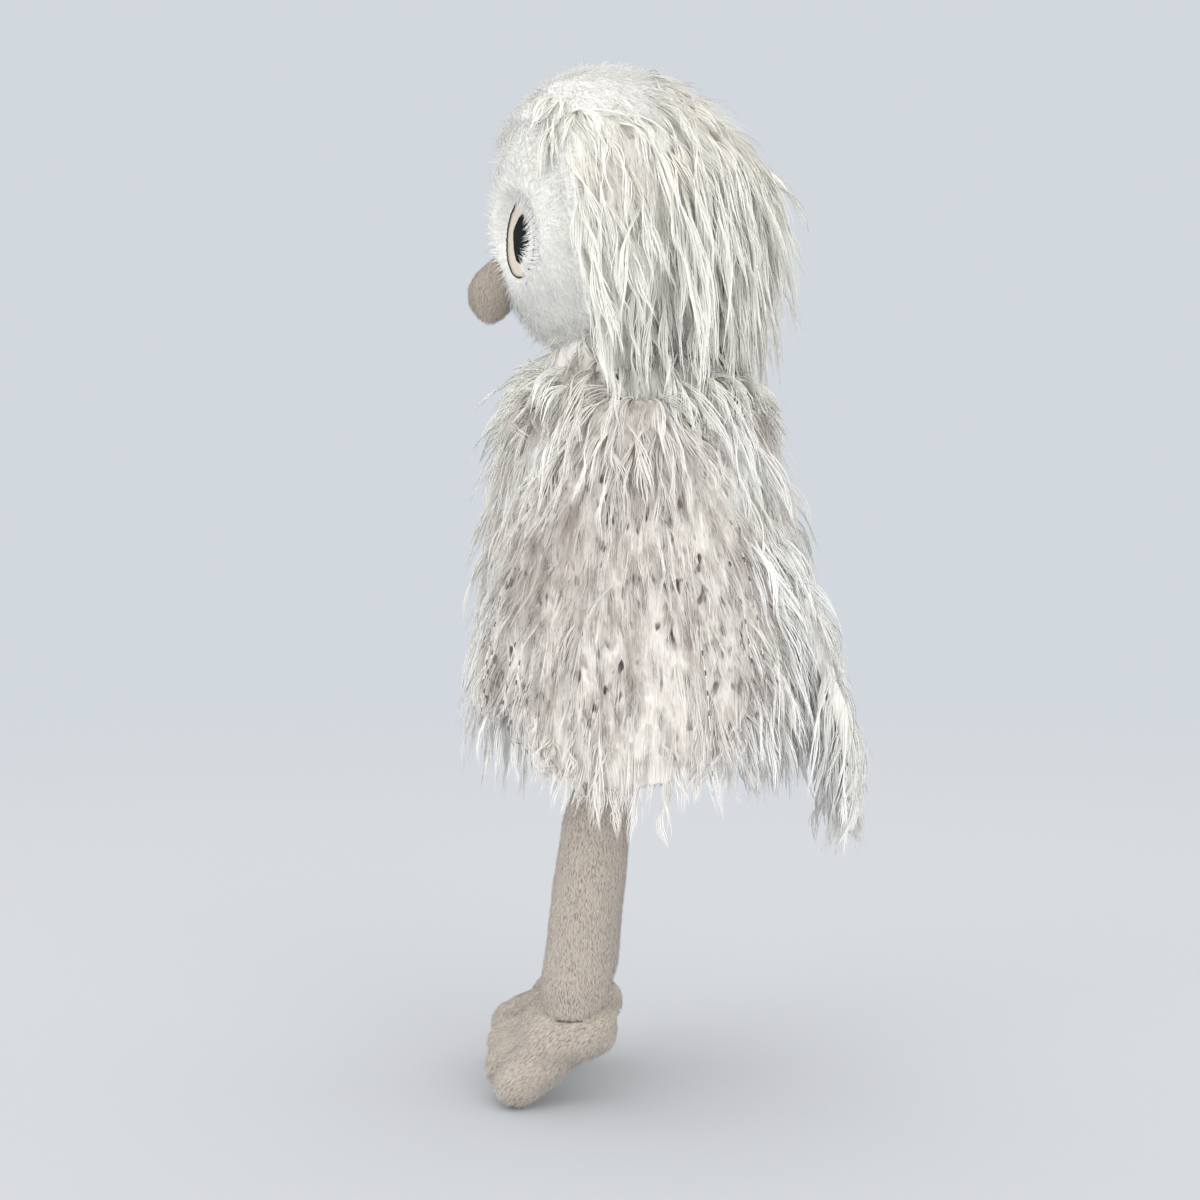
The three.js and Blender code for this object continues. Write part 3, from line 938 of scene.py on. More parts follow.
@dataclass(frozen=True)
class Coat:
    """One piece of fur: where it grows, which way it lies and how it is marked.

    Attributes:
        name: The piece's name.
        pile: The kind of fur.
        look: Its finish.
        where: Which roots it takes, from the points and their normals.
        comb: Which way it lies.
        scale: Each lock's size, as a share of the pile's.
        flecks: Each lock's chance of flecks, from 0 to 1.
        patches: How much of the patch colour each lock has, from 0 to 1.
        hem: How low the tips of the lowest locks hang.
        ragged: How much higher than that some of them end.
    """

    name: str
    pile: Pile
    look: Look
    where: Mask
    comb: Field
    scale: Field = ones
    flecks: Field = zeros
    patches: Field = zeros
    hem: Field = zeros
    ragged: float = 0.0

    def grow(self, skin: Skin, obstacles: BVHTree | None, rng: Rng) -> bpy.types.Object:
        """Grows the fur as closed tapering tubes, bundled in flat pointed locks.

        Args:
            skin: What it grows on.
            obstacles: What the locks may not sink into, if anything.
            rng: Where its chances come from.

        Returns:
            The fur, as one mesh.
        """
        roots, normals = skin.sample(self.pile.spacing, rng, self.where)
        scale = self.scale(roots)
        length = rng.uniform(*self.pile.length, len(roots)) * scale
        room = roots[:, 2] - self.hem(roots) - rng.uniform(0, 1, len(roots)) * self.ragged
        length = np.minimum(length, np.maximum(room, SHORTEST))
        paths = self._paths(roots, normals, length, scale, obstacles, rng)
        points, leans, facts, metres = self._fibres(paths, normals, length, scale, rng)
        points_in_one = points.shape[2]
        faces = tube_faces(points.shape[0] * points.shape[1], (points_in_one - 1) // 3)
        made = build_mesh(self.name, points.reshape(-1, 3), faces)
        add_attribute(made.data, "fibre", "FLOAT_COLOR", facts)
        add_attribute(made.data, "run", "FLOAT", metres / MM)
        made.data.normals_split_custom_set_from_vertices(unit(leans.reshape(-1, 3)))
        made.data.materials.append(self.look.material())
        log.info("%s: %d locks, %d triangles", self.name, len(roots), len(faces))
        return made

    def _paths(
        self, roots: Array, normals: Array, length: Array, scale: Array,
        obstacles: BVHTree | None, rng: Rng,
    ) -> Array:
        """Each lock's middle line, as rings + 2 points."""
        pile = self.pile
        steps = pile.rings + 1
        count = len(roots)
        layer = rng.uniform(*pile.layer, count) * scale
        phase = rng.uniform(0, 2 * math.pi, count)
        reach = rng.uniform(0.3, 1.0, count) * pile.wave * scale * 6 / steps
        comb = self.comb(roots)
        along = (comb * normals).sum(axis=1, keepdims=True)
        heading = unit(unit(comb - normals * along) + normals * pile.lift)
        heading = unit(heading + rng.normal(0, pile.stray, (count, 3)))
        paths = [roots]
        point = roots
        stride = (length / steps)[:, None]
        for step in range(1, steps + 1):
            share = step / steps
            pull = self.comb(point) * pile.cling + DOWN * pile.droop
            heading = unit(heading + pull * (1.6 / steps))
            side = unit(np.cross(heading, normals))
            turn = phase + share * pile.waves * 2 * math.pi
            swing = side * (reach * np.cos(turn))[:, None]
            swing += normals * (reach * np.sin(turn) * 0.5)[:, None]
            point = point + heading * stride + swing * min(1.0, share * 1.5)
            if obstacles is not None:
                point = self._clear(point, layer * min(1.0, share / 0.3), obstacles)
            point = held_in(point)
            paths.append(point)
        lines = np.stack(paths, axis=1)
        for _ in range(2):
            lines[:, 1:-1] = (lines[:, :-2] + 2 * lines[:, 1:-1] + lines[:, 2:]) / 4
        return lines

    @staticmethod
    def _clear(points: Array, clearance: Array, obstacles: BVHTree) -> Array:
        """Lifts points that are under or too near the obstacles' surface."""
        moved = points.copy()
        for i, point in enumerate(points):
            near, normal, _, _ = obstacles.find_nearest(Vector(point))
            offset = Vector(point) - near
            level = offset.dot(normal)
            gap = clearance[i] - level
            inside = level < -0.7 * offset.length
            if gap > 0 and (inside or offset.length < clearance[i]):
                moved[i] += np.array(normal) * gap
        return moved

    def _fibres(
        self, paths: Array, normals: Array, length: Array, scale: Array, rng: Rng
    ) -> tuple:
        """Every fibre's points, their normals and marks, and how far along its lock each is."""
        pile = self.pile
        count, steps, fibres, rings = len(paths), paths.shape[1] - 1, pile.fibres, pile.rings
        many = fibres > 1
        tangent = unit(np.gradient(paths, axis=1))
        side = unit(np.cross(tangent, normals[:, None, :]))
        top = unit(np.cross(side, tangent) + 0.6 * normals[:, None, :])
        top = unit(top - tangent * (top * tangent).sum(axis=-1, keepdims=True))
        skyward = unit(top + 0.7 * normals[:, None, :])
        across = np.linspace(-1, 1, fibres) * many + rng.normal(0, 0.2, (count, fibres)) * many
        depth = rng.normal(0, 0.35, (count, fibres))
        reach = 1 - 0.3 * np.abs(across) ** 1.5
        reach = np.clip(reach - rng.uniform(0, 0.15, (count, fibres)), 0.3, 1)
        share = np.linspace(0, 1, rings + 1)
        at = reach[:, :, None] * share * steps
        low = np.clip(np.floor(at).astype(int), 0, steps - 1)
        blend = (at - low)[..., None]
        lock = np.arange(count)[:, None, None]

        def along(values: Array) -> Array:
            """What the lock has at each ring of its fibres."""
            return values[lock, low] * (1 - blend) + values[lock, low + 1] * blend

        middle, side, top, skyward = (along(v) for v in (paths, side, top, skyward))
        where = at / steps
        leaf = np.clip((0.35 + 2.6 * where) * (1 - where) ** 0.9, 0.05, 1.1)
        stray = rng.normal(0, pile.fray, (count, fibres, 1, 2)) * (share**1.5)[:, None]
        turn = rng.normal(0, 0.5, (count, 1, 1))
        turn = turn + where * pile.twist * 2 * math.pi * rng.choice([-1, 1], (count, 1, 1))
        flat = across[..., None] * leaf + stray[..., 0]
        thick = depth[..., None] * leaf * 0.3 + stray[..., 1] * 0.5
        width = (pile.width * np.sqrt(scale))[:, None, None, None]
        right = (flat * np.cos(turn) - thick * np.sin(turn))[..., None] * width
        up = (flat * np.sin(turn) + thick * np.cos(turn))[..., None] * width
        centre = middle + side * right + top * up
        chance = rng.random((count, 1, 1)) * 0.85 + rng.random((count, fibres, 1)) * 0.15
        metres = where * length[:, None, None]
        phase = (metres / self.look.value.spacing + chance) % 1
        start, end = self.look.value.dash
        bead = 1 + pile.bead * ((phase > start) & (phase < end))
        radius = (pile.radius * (1 - 0.75 * share**2) * bead)[..., None]
        points = np.empty((count, fibres, 3 * rings + 1, 3))
        leans = np.empty_like(points)
        bulge = (skyward + side * flat[..., None] * 0.5) * pile.softness
        for corner in range(3):
            angle = (corner - 0.25) * 2 * math.pi / 3
            out = side * math.cos(angle) - top * math.sin(angle)
            points[:, :, corner : 3 * rings : 3] = (centre + out * radius)[:, :, :rings]
            leans[:, :, corner : 3 * rings : 3] = (bulge * 0.7 + out * 0.7)[:, :, :rings]
        points[:, :, -1] = centre[:, :, -1]
        leans[:, :, -1] = skyward[:, :, -1]
        run = np.concatenate([np.repeat(where[:, :, :rings], 3, axis=2), where[:, :, -1:]], axis=2)
        facts = np.empty((*run.shape, 4))
        facts[..., 0] = run
        facts[..., 1] = chance
        marked = rng.random((count, 1)) < self.flecks(paths[:, 0])[:, None]
        marked = marked & (np.abs(across) < FLECKED_WIDTH)
        facts[..., 2] = marked[..., None]
        if self.look.value.spotted:
            facts[..., 2] = self.flecks(paths[:, 0])[:, None, None]
        facts[..., 3] = self.patches(paths[:, 0])[:, None, None]
        return points, leans, facts, run * length[:, None, None]


# Sub-assemblies


@dataclass(frozen=True)
class Part:
    """What a finished piece hangs on and stands for.

    Attributes:
        body: The CAD body that it rides on.
        slot: The record's material slot.
        joins: The body past the joint that it lies over, if it does.
        start: A point above the joint.
        end: A point below the joint.
    """

    body: str
    slot: str
    joins: str = ""
    start: tuple = (0, 0, 0)
    end: tuple = (0, 0, 0)

    @classmethod
    def over(cls, joint: str, bodies: tuple, slot: str, above: float, below: float) -> "Part":
        """A piece that lies over a joint.

        Args:
            joint: The joint's name.
            bodies: The bodies on its two sides.
            slot: The record's material slot.
            above: How far above the joint its start point is.
            below: How far below it its end point is.

        Returns:
            The part.
        """
        place = joint_place(joint)
        start = tuple(place + Vector((0, 0, above)))
        return cls(bodies[0], slot, bodies[1], start, tuple(place - Vector((0, 0, below))))

    def hang(
        self, obj: bpy.types.Object, nodes: Iterable[str] = (), fill: float | None = None
    ) -> None:
        """Puts a piece on its body, or fixes one that lies over a joint where it is.

        Args:
            obj: The piece.
            nodes: The CAD nodes that it stands for.
            fill: Not used.
        """
        if self.joins:
            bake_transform(obj)
        else:
            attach(obj, self.body)
        if nodes:
            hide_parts(*nodes)


def joint_place(name: str) -> Vector:
    """Where the CAD joint of that name is."""
    return next(Vector(joint["pos_m"]) for joint in frame["joints"] if joint["name"] == name)


@dataclass
class Torso:
    """The pear-shaped trunk with its shaggy coat, and the soft neck above it."""

    inset: float = -0.0030
    waist_y: float = -0.012
    lap_z: float = 0.205
    collar_z: float = 0.322
    chin_patch: tuple = ((-0.028, 0.350), 0.012)
    tufts: Pile = replace(TUFT, spacing=0.0082, length=(0.026, 0.042))
    locks: Pile = replace(LOCK, spacing=0.0110, length=(0.042, 0.064), stray=0.28,
                          layer=(0.001, 0.004))
    collar: Pile = replace(LOCK, spacing=0.0084, length=(0.028, 0.044), stray=0.35, lift=1.2,
                           droop=1.1, cling=0.4, layer=(0.001, 0.008))
    rump: Pile = replace(LOCK, spacing=0.0082, length=(0.036, 0.062), lift=1.5, droop=1.3,
                         cling=0.2, stray=0.22)
    ruff: Pile = replace(LOCK, spacing=0.0108, length=(0.024, 0.040), lift=0.9, stray=0.4)
    fringe: Pile = replace(LOCK, spacing=0.0072, length=(0.040, 0.062), droop=1.2)
    skin: Skin = field(init=False)

    def form(self) -> Skin:
        """Makes the trunk's bare skin.

        Returns:
            The whole skin, for others to keep clear of.
        """
        nodes = ["torso_front_coat", "torso_back_coat", "torso_stuffing", "pellet_bag"]
        self.skin = Skin.wrap("torso_skin", nodes, 0.0028, 9)
        self.skin.swell(lambda points: -self.inset - 0.008 * self._beside(points))
        self.skin.swell(lambda points: fluff(points, 0.0016) * (1 - self._beside(points)))
        self.skin.swell(self._hump)
        return self.skin

    def _hump(self, points: Array) -> Array:
        """How far the underfur stands out over the upper back and under the chin."""
        _, y, z = points.T
        height = rise(z, 0.262, 0.300) * rise(z, 0.352, 0.325)
        ahead = rise(y, -0.028, -0.050) * rise(z, 0.290, 0.325)
        return height * (0.003 * rise(y, 0.004, 0.030) + 0.003 * ahead)

    def _beside(self, points: Array) -> Array:
        """How much each point is behind a wing."""
        return rise(np.abs(points[:, 0]), 0.034, 0.048) * rise(points[:, 1], 0.050, 0.036)

    def dress(self, wings: Iterable[Skin], tail: Skin) -> None:
        """Grows the coat, collar and lap, and finishes the skin.

        Args:
            wings: The wings' skins, which the collar's locks lie over.
            tail: The tail's skin, whose root the back's locks lie over.
        """
        rng = np.random.default_rng(SEED + 1)
        skin = self.skin
        under = {True: skin.tree(), False: tree_of([skin, tail])}
        part = Part("torso", "cream_fur")
        for name, front in (("torso_front", True), ("torso_back", False)):
            where = partial(self._coat_half, front=front)
            for kind, pile in (("tufts", self.tufts), ("locks", self.locks)):
                coat = Coat(f"{name}_{kind}", pile, Look.BODY_FUR, where, self._comb, self._scale,
                            patches=self._patches, hem=self._hem, ragged=0.02)
                part.hang(coat.grow(skin, under[front], rng))
        for side in Side:
            coat = Coat(f"{side.word}_lap_fringe", self.fringe, Look.BODY_FUR,
                        partial(self._on_half_lap, side=side), self._comb, hem=self._hem,
                        ragged=0.03)
            bodies = ("torso", f"{side.word}_leg")
            bend = Part.over(f"{side.word}_hip_swing", bodies, "cream_fur", 0.020, 0.012)
            bend.hang(coat.grow(skin, under[True], rng))
        rump = Coat("rump_locks", self.rump, Look.BODY_FUR, self._on_rump, self._rump_comb)
        bend = Part.over("tail_lift", ("torso", "tail"), "cream_fur", 0.018, 0.022)
        bend.hang(rump.grow(skin, under[False], rng))
        over = tree_of([skin, *wings])
        coat = Coat("collar_locks", self.collar, Look.HEAD_FUR, self._on_collar, self._ruff_comb,
                    patches=self._patches)
        part.hang(coat.grow(skin, over, rng))
        self._neck(over, rng)
        skin.dye(lambda p: 0.3 * self._patches(p))
        belly = skin.copy("torso_front_skin")
        rear = belly.cut("torso_back_skin", Vector((0, self.waist_y, 0)), Vector((0, 1, 0)))
        belly.paint(Look.COAT_CLOTH)
        rear.paint(Look.COAT_CLOTH)
        part.hang(belly.object, ["torso_front_coat", "torso_stuffing", "pellet_bag"], 0.7)
        part.hang(rear.object, ["torso_back_coat"], 0.7)

    def _coat_half(self, points: Array, normals: Array, front: bool) -> Array:
        """Whether the long coat grows there, thinner where a wing hides it."""
        x, y, z = points.T
        hidden = (np.abs(x) > 0.044) & between(z, 0.19, 0.312)
        thinned = hidden & (np.abs(y + 0.010) < 0.045)
        kept = ~thinned | (ripple(points, 0.009, 9.0) > 0.25)
        kept = kept & (normals[:, 2] > -0.9) & ~(self._on_lap(points, normals) & front)
        return kept & ((y < self.waist_y) == front)

    def _on_lap(self, points: Array, normals: Array) -> Array:
        """Whether each root is on the lap, low in front."""
        low = (points[:, 2] < self.lap_z) & (normals[:, 2] > -0.75)
        return low & (points[:, 1] < self.waist_y)

    def _on_half_lap(self, points: Array, normals: Array, side: Side) -> Array:
        """Whether each root is on one side of the lap."""
        return side.has(points) & self._on_lap(points, normals)

    def _on_rump(self, points: Array, _: Array) -> Array:
        """Whether each root is above the tail's root or beside it."""
        x, y, z = points.T
        across = np.abs(x)
        above = between(z, 0.246, 0.276) & (across < 0.046)
        beside = between(z, 0.185, 0.262) & (across > 0.026)
        return (above | beside) & (y > 0.030) & (across < 0.052)

    def _rump_comb(self, points: Array) -> Array:
        """Backwards over the tail's root, and steeply down beside it."""
        back = 0.4 + 0.6 * rise(points[:, 2], 0.240, 0.250)
        side = sway(points, 0.012, 71.0, (0.25, 0, 0))
        return unit(DOWN + back[:, None] * vec(0, 1, 0) + side)

    def _on_collar(self, points: Array, normals: Array) -> Array:
        """Whether each root is on the shoulders, clear of the neck."""
        x, y, z = points.T
        off_neck = np.hypot(x, y - self.waist_y) > 0.016
        return (z > self.collar_z) & (normals[:, 2] > -0.4) & off_neck

    def _comb(self, points: Array) -> Array:
        """Down, and outwards most at the chest."""
        chest = 0.22 + 0.3 * rise(points[:, 2], 0.27, 0.33)
        side = sway(points, 0.05, 7.0, (0.12, 0.12, 0))
        return unit(outward(points, vec(0, -0.011, 0)) * chest[:, None] + DOWN + side)

    def _scale(self, points: Array) -> Array:
        """Shorter locks behind the wings and below, and longer ones on the rump."""
        _, y, z = points.T
        covered = self._beside(points) * rise(z, 0.330, 0.315)
        rump = rise(y, 0.0, 0.03) * rise(z, 0.26, 0.22)
        return 1 - 0.55 * covered - 0.2 * rise(z, 0.180, 0.165) + 0.4 * rump

    def _patches(self, points: Array) -> Array:
        """Faint sandy patches all over the coat."""
        return np.clip(ripple(points, 0.05, 4.0) * 0.5 + 0.05, 0, 1)

    def _hem(self, points: Array) -> Array:
        """How low the coat hangs, from the lap round to the rump."""
        return 0.128 + 0.004 * rise(points[:, 1], -0.02, 0.03)

    def _neck(self, over: BVHTree, rng: Rng) -> None:
        """The neck, whose ruff stands out under the chin and falls on the shoulders."""
        skin = Skin.wrap("neck_skin", ["neck_stuffing"], 0.003, 3)
        skin.swell(even(0.0065))
        ruff = Coat("neck_ruff", self.ruff, Look.HEAD_FUR,
                    lambda p, n: (np.abs(n[:, 2]) < 0.92) & (p[:, 2] > self.collar_z),
                    self._ruff_comb, patches=lambda p: 0.9 * blob(p, *self.chin_patch))
        part = Part("neck", "cream_fur")
        part.hang(ruff.grow(skin, over, rng))
        skin.dye(lambda p: 0.7 * blob(p, *self.chin_patch))
        skin.paint(Look.COAT_CLOTH)
        part.hang(skin.object, ["neck_stuffing"], 0.8)

    def _ruff_comb(self, points: Array) -> Array:
        """Down and outwards, most of all under the chin."""
        x, y, _ = points.T
        flare = 0.9 - 0.8 * rise(y, 0.0, 0.03)
        flare = flare - 0.4 * rise(np.abs(x), 0.020, 0.034)
        return unit(outward(points, MIDDLE) * flare[:, None] + DOWN * 0.6)


@dataclass
class Head:
    """The head: a short-piled face and crown, and long locks behind them."""

    ridge_z: float = 0.468
    brow_z: float = 0.4505
    seam_y: float = -0.0457
    seam_z: float = 0.419
    seam_slope: float = 0.158
    coat_inset: float = -0.0020
    face_inset: float = -0.0008
    brow_bulge: float = 0.0060
    back_bulge: float = 0.0085
    face_end: float = 0.007
    eye_gap: float = 0.0002
    rim_band: tuple = (-0.0014, 0.0050)
    rim_rear: float = 0.16
    neck_z: float = 0.362
    nape_z: float = 0.385
    mane_z: float = 0.300
    smoke: tuple = (((-0.024, 0.436), 0.010, 1.0), ((-0.018, 0.372), 0.010, 0.6))
    pile: Pile = replace(NAP, spacing=0.0013, length=(0.0026, 0.0040), radius=0.00015, lift=0.3,
                         droop=0.1, rings=2, softness=0.9)
    fuzz: Pile = replace(NAP, spacing=0.0018, length=(0.0050, 0.0080), radius=0.00014, lift=1.1,
                         stray=0.35, rings=3, softness=0.9)
    crown_pile: Pile = replace(NAP, spacing=0.0013, length=(0.0070, 0.0110), radius=0.00017,
                               lift=0.4, cling=0.7, layer=(0.0, 0.002), stray=0.35, rings=3,
                               softness=0.9)
    tufts: Pile = replace(TUFT, spacing=0.0066, length=(0.024, 0.040))
    locks: Pile = replace(LOCK, spacing=0.0114, length=(0.046, 0.074), layer=(0.001, 0.004),
                          wave=0.0062, twist=1.0)
    mane: Pile = replace(LOCK, spacing=0.0084, length=(0.060, 0.100), wave=0.0044, stray=0.10,
                         lift=0.25, droop=1.0, cling=0.2, layer=(0.001, 0.006), rings=8)
    brow: Pile = replace(LOCK, spacing=0.0056, length=(0.020, 0.036), width=0.0017, fibres=7,
                         radius=0.00030, lift=0.5, wave=0.0050, waves=1.6, stray=0.5, twist=0.7)
    forelock: Pile = replace(LOCK, spacing=0.0080, length=(0.022, 0.030), width=0.0026, wave=0.003,
                             stray=0.3, lift=0.5)
    rim: Pile = replace(NAP, spacing=0.0009, length=(0.0065, 0.0105), radius=0.00018, lift=0.40,
                        droop=0.1, stray=0.22, rings=4, softness=0.9)

    def build(self, trunk: Skin) -> Skin:
        """Builds and dresses the head.

        Args:
            trunk: The torso's skin, which the long locks lie over.

        Returns:
            The head's whole skin, for the face's own parts.
        """
        rng = np.random.default_rng(SEED + 2)
        nodes = ["head_back_coat", "face_panel", "head_stuffing"]
        skin = Skin.wrap("head_skin", nodes, 0.0026, 7)
        skin.swell(self._inset)
        skin.swell(lambda p: fluff(p, 0.0018) * rise(self._behind(p), 0.0, 0.02)
                   * rise(self._above(p), 0.0, -0.01))
        part = Part("head", "cream_fur")
        face_part = Part("head", "face_plush")
        tree = tree_of([skin, trunk])
        for side in Side:
            for coat in self._face_coats(side):
                face_part.hang(coat.grow(skin, None, rng))
            for coat in self._long_coats(side):
                part.hang(coat.grow(skin, tree, rng))
        self._skins(skin, part, face_part)
        return skin

    def _face_coats(self, side: Side) -> list[Coat]:
        """The short pile of one side's face and crown, and the fuzz round the eye."""

        eye = Eye(side)

        def on_face(points: Array, _: Array) -> Array:
            """Ahead of the seam and below the crown, off the eye."""
            ahead = (self._behind(points) < self.face_end) & (self._dome(points) < 0.001)
            off_eye = eye.off_axis(points) > eye.outline_radius + self.eye_gap
            return side.has(points) & ahead & off_eye

        def on_crown(points: Array, _: Array) -> Array:
            """On the smooth crown."""
            return side.has(points) & (self._dome(points) > -0.002)

        def on_rim(points: Array, _: Array) -> Array:
            """Round the rear of the eye's edge."""
            off = eye.off_axis(points) - eye.outline_radius
            return between(off, *self.rim_band) & (eye.rearward(points) > self.rim_rear)

        word = side.word
        return [
            Coat(f"{word}_face_pile", self.pile, Look.FACE_PILE, on_face, self._face_comb),
            Coat(f"{word}_face_fuzz", self.fuzz, Look.FACE_PILE, on_face, self._face_comb),
            Coat(f"{word}_crown_pile", self.crown_pile, Look.FACE_PILE, on_crown,
                 self._dome_comb),
            Coat(f"{word}_eye_rim_fuzz", self.rim, Look.FACE_PILE, on_rim, eye.inward),
        ]

    def _long_coats(self, side: Side) -> list[Coat]:
        """The soft underfur, long locks and curled brow locks of one side."""

        def back(points: Array, _: Array) -> Array:
            """Behind the seam, off the smooth crown and above the neck."""
            off_crown = (self._dome(points) < 0.002) | (points[:, 1] > -0.012)
            clear = (self._behind(points) > 0.001) & off_crown
            return side.has(points) & clear & (points[:, 2] > self.neck_z)

        def brow(points: Array, _: Array) -> Array:
            """Along the line where the locks start."""
            line = (np.abs(self._above(points) + 0.002) < 0.006) & (self._behind(points) > -0.004)
            return side.has(points) & line & (points[:, 1] < -0.006)

        def nape(points: Array, _: Array) -> Array:
            """High on the rear of the head."""
            return side.has(points) & (points[:, 1] > 0.004) & (points[:, 2] > self.nape_z)

        def forelock(points: Array, _: Array) -> Array:
            """Where the seam and the locks' line meet."""
            near = (np.abs(points[:, 1] + 0.047) < 0.006) & (np.abs(self._above(points)) < 0.010)
            return side.has(points, 0.012) & near

        word = side.word
        return [
            Coat(f"{word}_forelocks", self.forelock, Look.HEAD_FUR, forelock, self._fore_comb),
            Coat(f"{word}_head_tufts", self.tufts, Look.HEAD_FUR, back, self._crown_comb,
                 patches=self._patches),
            Coat(f"{word}_head_locks", self.locks, Look.HEAD_FUR, back, self._crown_comb,
                 self._lock_scale),
            Coat(f"{word}_nape_mane", self.mane, Look.HEAD_FUR, nape, self._nape_comb,
                 self._lock_scale, hem=even(self.mane_z), ragged=0.04),
            Coat(f"{word}_brow_locks", self.brow, Look.HEAD_FUR, brow, self._brow_comb),
        ]

    def _skins(self, whole: Skin, part: Part, face_part: Part) -> None:
        """Parts the skin at the face seam and finishes both parts."""
        whole.dye(self._patches)
        face = whole.copy("face_skin")
        back = face.cut("head_back_skin", Vector((0, self.seam_y, self.seam_z)),
                        Vector((0, 1, self.seam_slope)))
        face.paint(Look.FACE_CLOTH)
        back.paint(Look.COAT_CLOTH)
        face_part.hang(face.object, ["face_panel"], 0.8)
        part.hang(back.object, ["head_back_coat", "head_stuffing"], 0.8)

    def _behind(self, points: Array) -> Array:
        """How far each point is behind the face seam."""
        return points[:, 1] - self.seam_y + (points[:, 2] - self.seam_z) * self.seam_slope

    def _above(self, points: Array) -> Array:
        """How far above the line where the locks start each point is."""
        return points[:, 2] - self.brow_z + 0.125 * points[:, 1]

    def _dome(self, points: Array) -> Array:
        """How far inside the smooth crown each point is, or outside where negative."""
        return np.minimum(self._above(points), 0.002 - points[:, 1])

    def _inset(self, points: Array) -> Array:
        """How far the skin stands out, most at the brow and nape and least round the eyes."""
        back = rise(self._behind(points), -0.006, 0.012)
        back = back * (1 - 0.7 * rise(self._dome(points), -0.004, 0.004))
        inset = self.face_inset + (self.coat_inset - self.face_inset) * back
        brow = self.brow_bulge * blob(points, (-0.070, 0.468), 0.024)
        nape = rise(points[:, 1], 0.0, 0.028) * rise(points[:, 2], 0.470, 0.440)
        inset = inset - self.back_bulge * nape
        for side in Side:
            off = Eye(side).off_axis(points)
            inset = inset * rise(off, 0.018, 0.026)
            brow = brow * rise(off, 0.020, 0.058)
        return brow - inset

    def _face_comb(self, points: Array) -> Array:
        """Away from the beak, and away from each eye near it."""
        away = points - vec(0.0, -0.082, 0.400)
        comb = unit(unit(away) * vec(1.0, 0.5, 1.0) + vec(0, 0.25, -0.35))
        for side in Side:
            eye = Eye(side)
            near = rise(eye.off_axis(points), 0.036, 0.022)[:, None]
            comb = comb * (1 - near) - eye.inward(points) * near
        return comb

    def _dome_comb(self, points: Array) -> Array:
        """Away from above the brow, backwards and in swirls."""
        away = points - vec(0.0, -0.050, 0.480)
        swirl = sway(points, 0.03, 6.0, (0.3, 0.3, 0))
        return unit(unit(away) + vec(0, 0.3, -0.2) + swirl)

    def _crown_comb(self, points: Array) -> Array:
        """Down from the head's ridge, and backwards at the top."""
        start = points * vec(0, 1, 0) + vec(0, 0, self.ridge_z)
        start[:, 1] = np.clip(start[:, 1], -0.055, 0.0)
        back = 0.30 + 0.45 * rise(points[:, 2], 0.42, 0.47)
        back = back * rise(points[:, 1], 0.04, 0.01)
        flow = np.stack([zeros(points), back, -0.85 * ones(points)], axis=1)
        side = sway(points, 0.035, 5.0, (0, 0.22, 0))
        return unit(unit(points - start) * 0.6 + flow + side)

    def _nape_comb(self, points: Array) -> Array:
        """Down, and a little outwards."""
        return unit(outward(points, MIDDLE) * 0.14 + vec(0, 0.04, -1.0))

    def _fore_comb(self, points: Array) -> Array:
        """Down over the face, the same everywhere."""
        return np.tile(unit(vec(0, -0.45, -0.9)), (len(points), 1))

    def _lock_scale(self, points: Array) -> Array:
        """Shorter locks towards the top."""
        return 1 - 0.5 * rise(points[:, 2], 0.440, 0.478)

    def _patches(self, points: Array) -> Array:
        """Two smoky spots beside the face, and faint ones all over."""
        spots = blots(points, self.smoke)
        return np.clip(spots * 0.9 + ripple(points, 0.04, 2.0) * 0.16, 0, 1)

    def _brow_comb(self, points: Array) -> Array:
        """Outwards and down the side of the head, in curls."""
        out = unit(points * vec(1, 0, 0) + vec(1e-6, 0, 0))
        swirl = sway(points, 0.022, 6.0, (0, 1.0, 0.3))
        return unit(out * 0.5 + vec(0, 0.35, -0.6) + swirl)


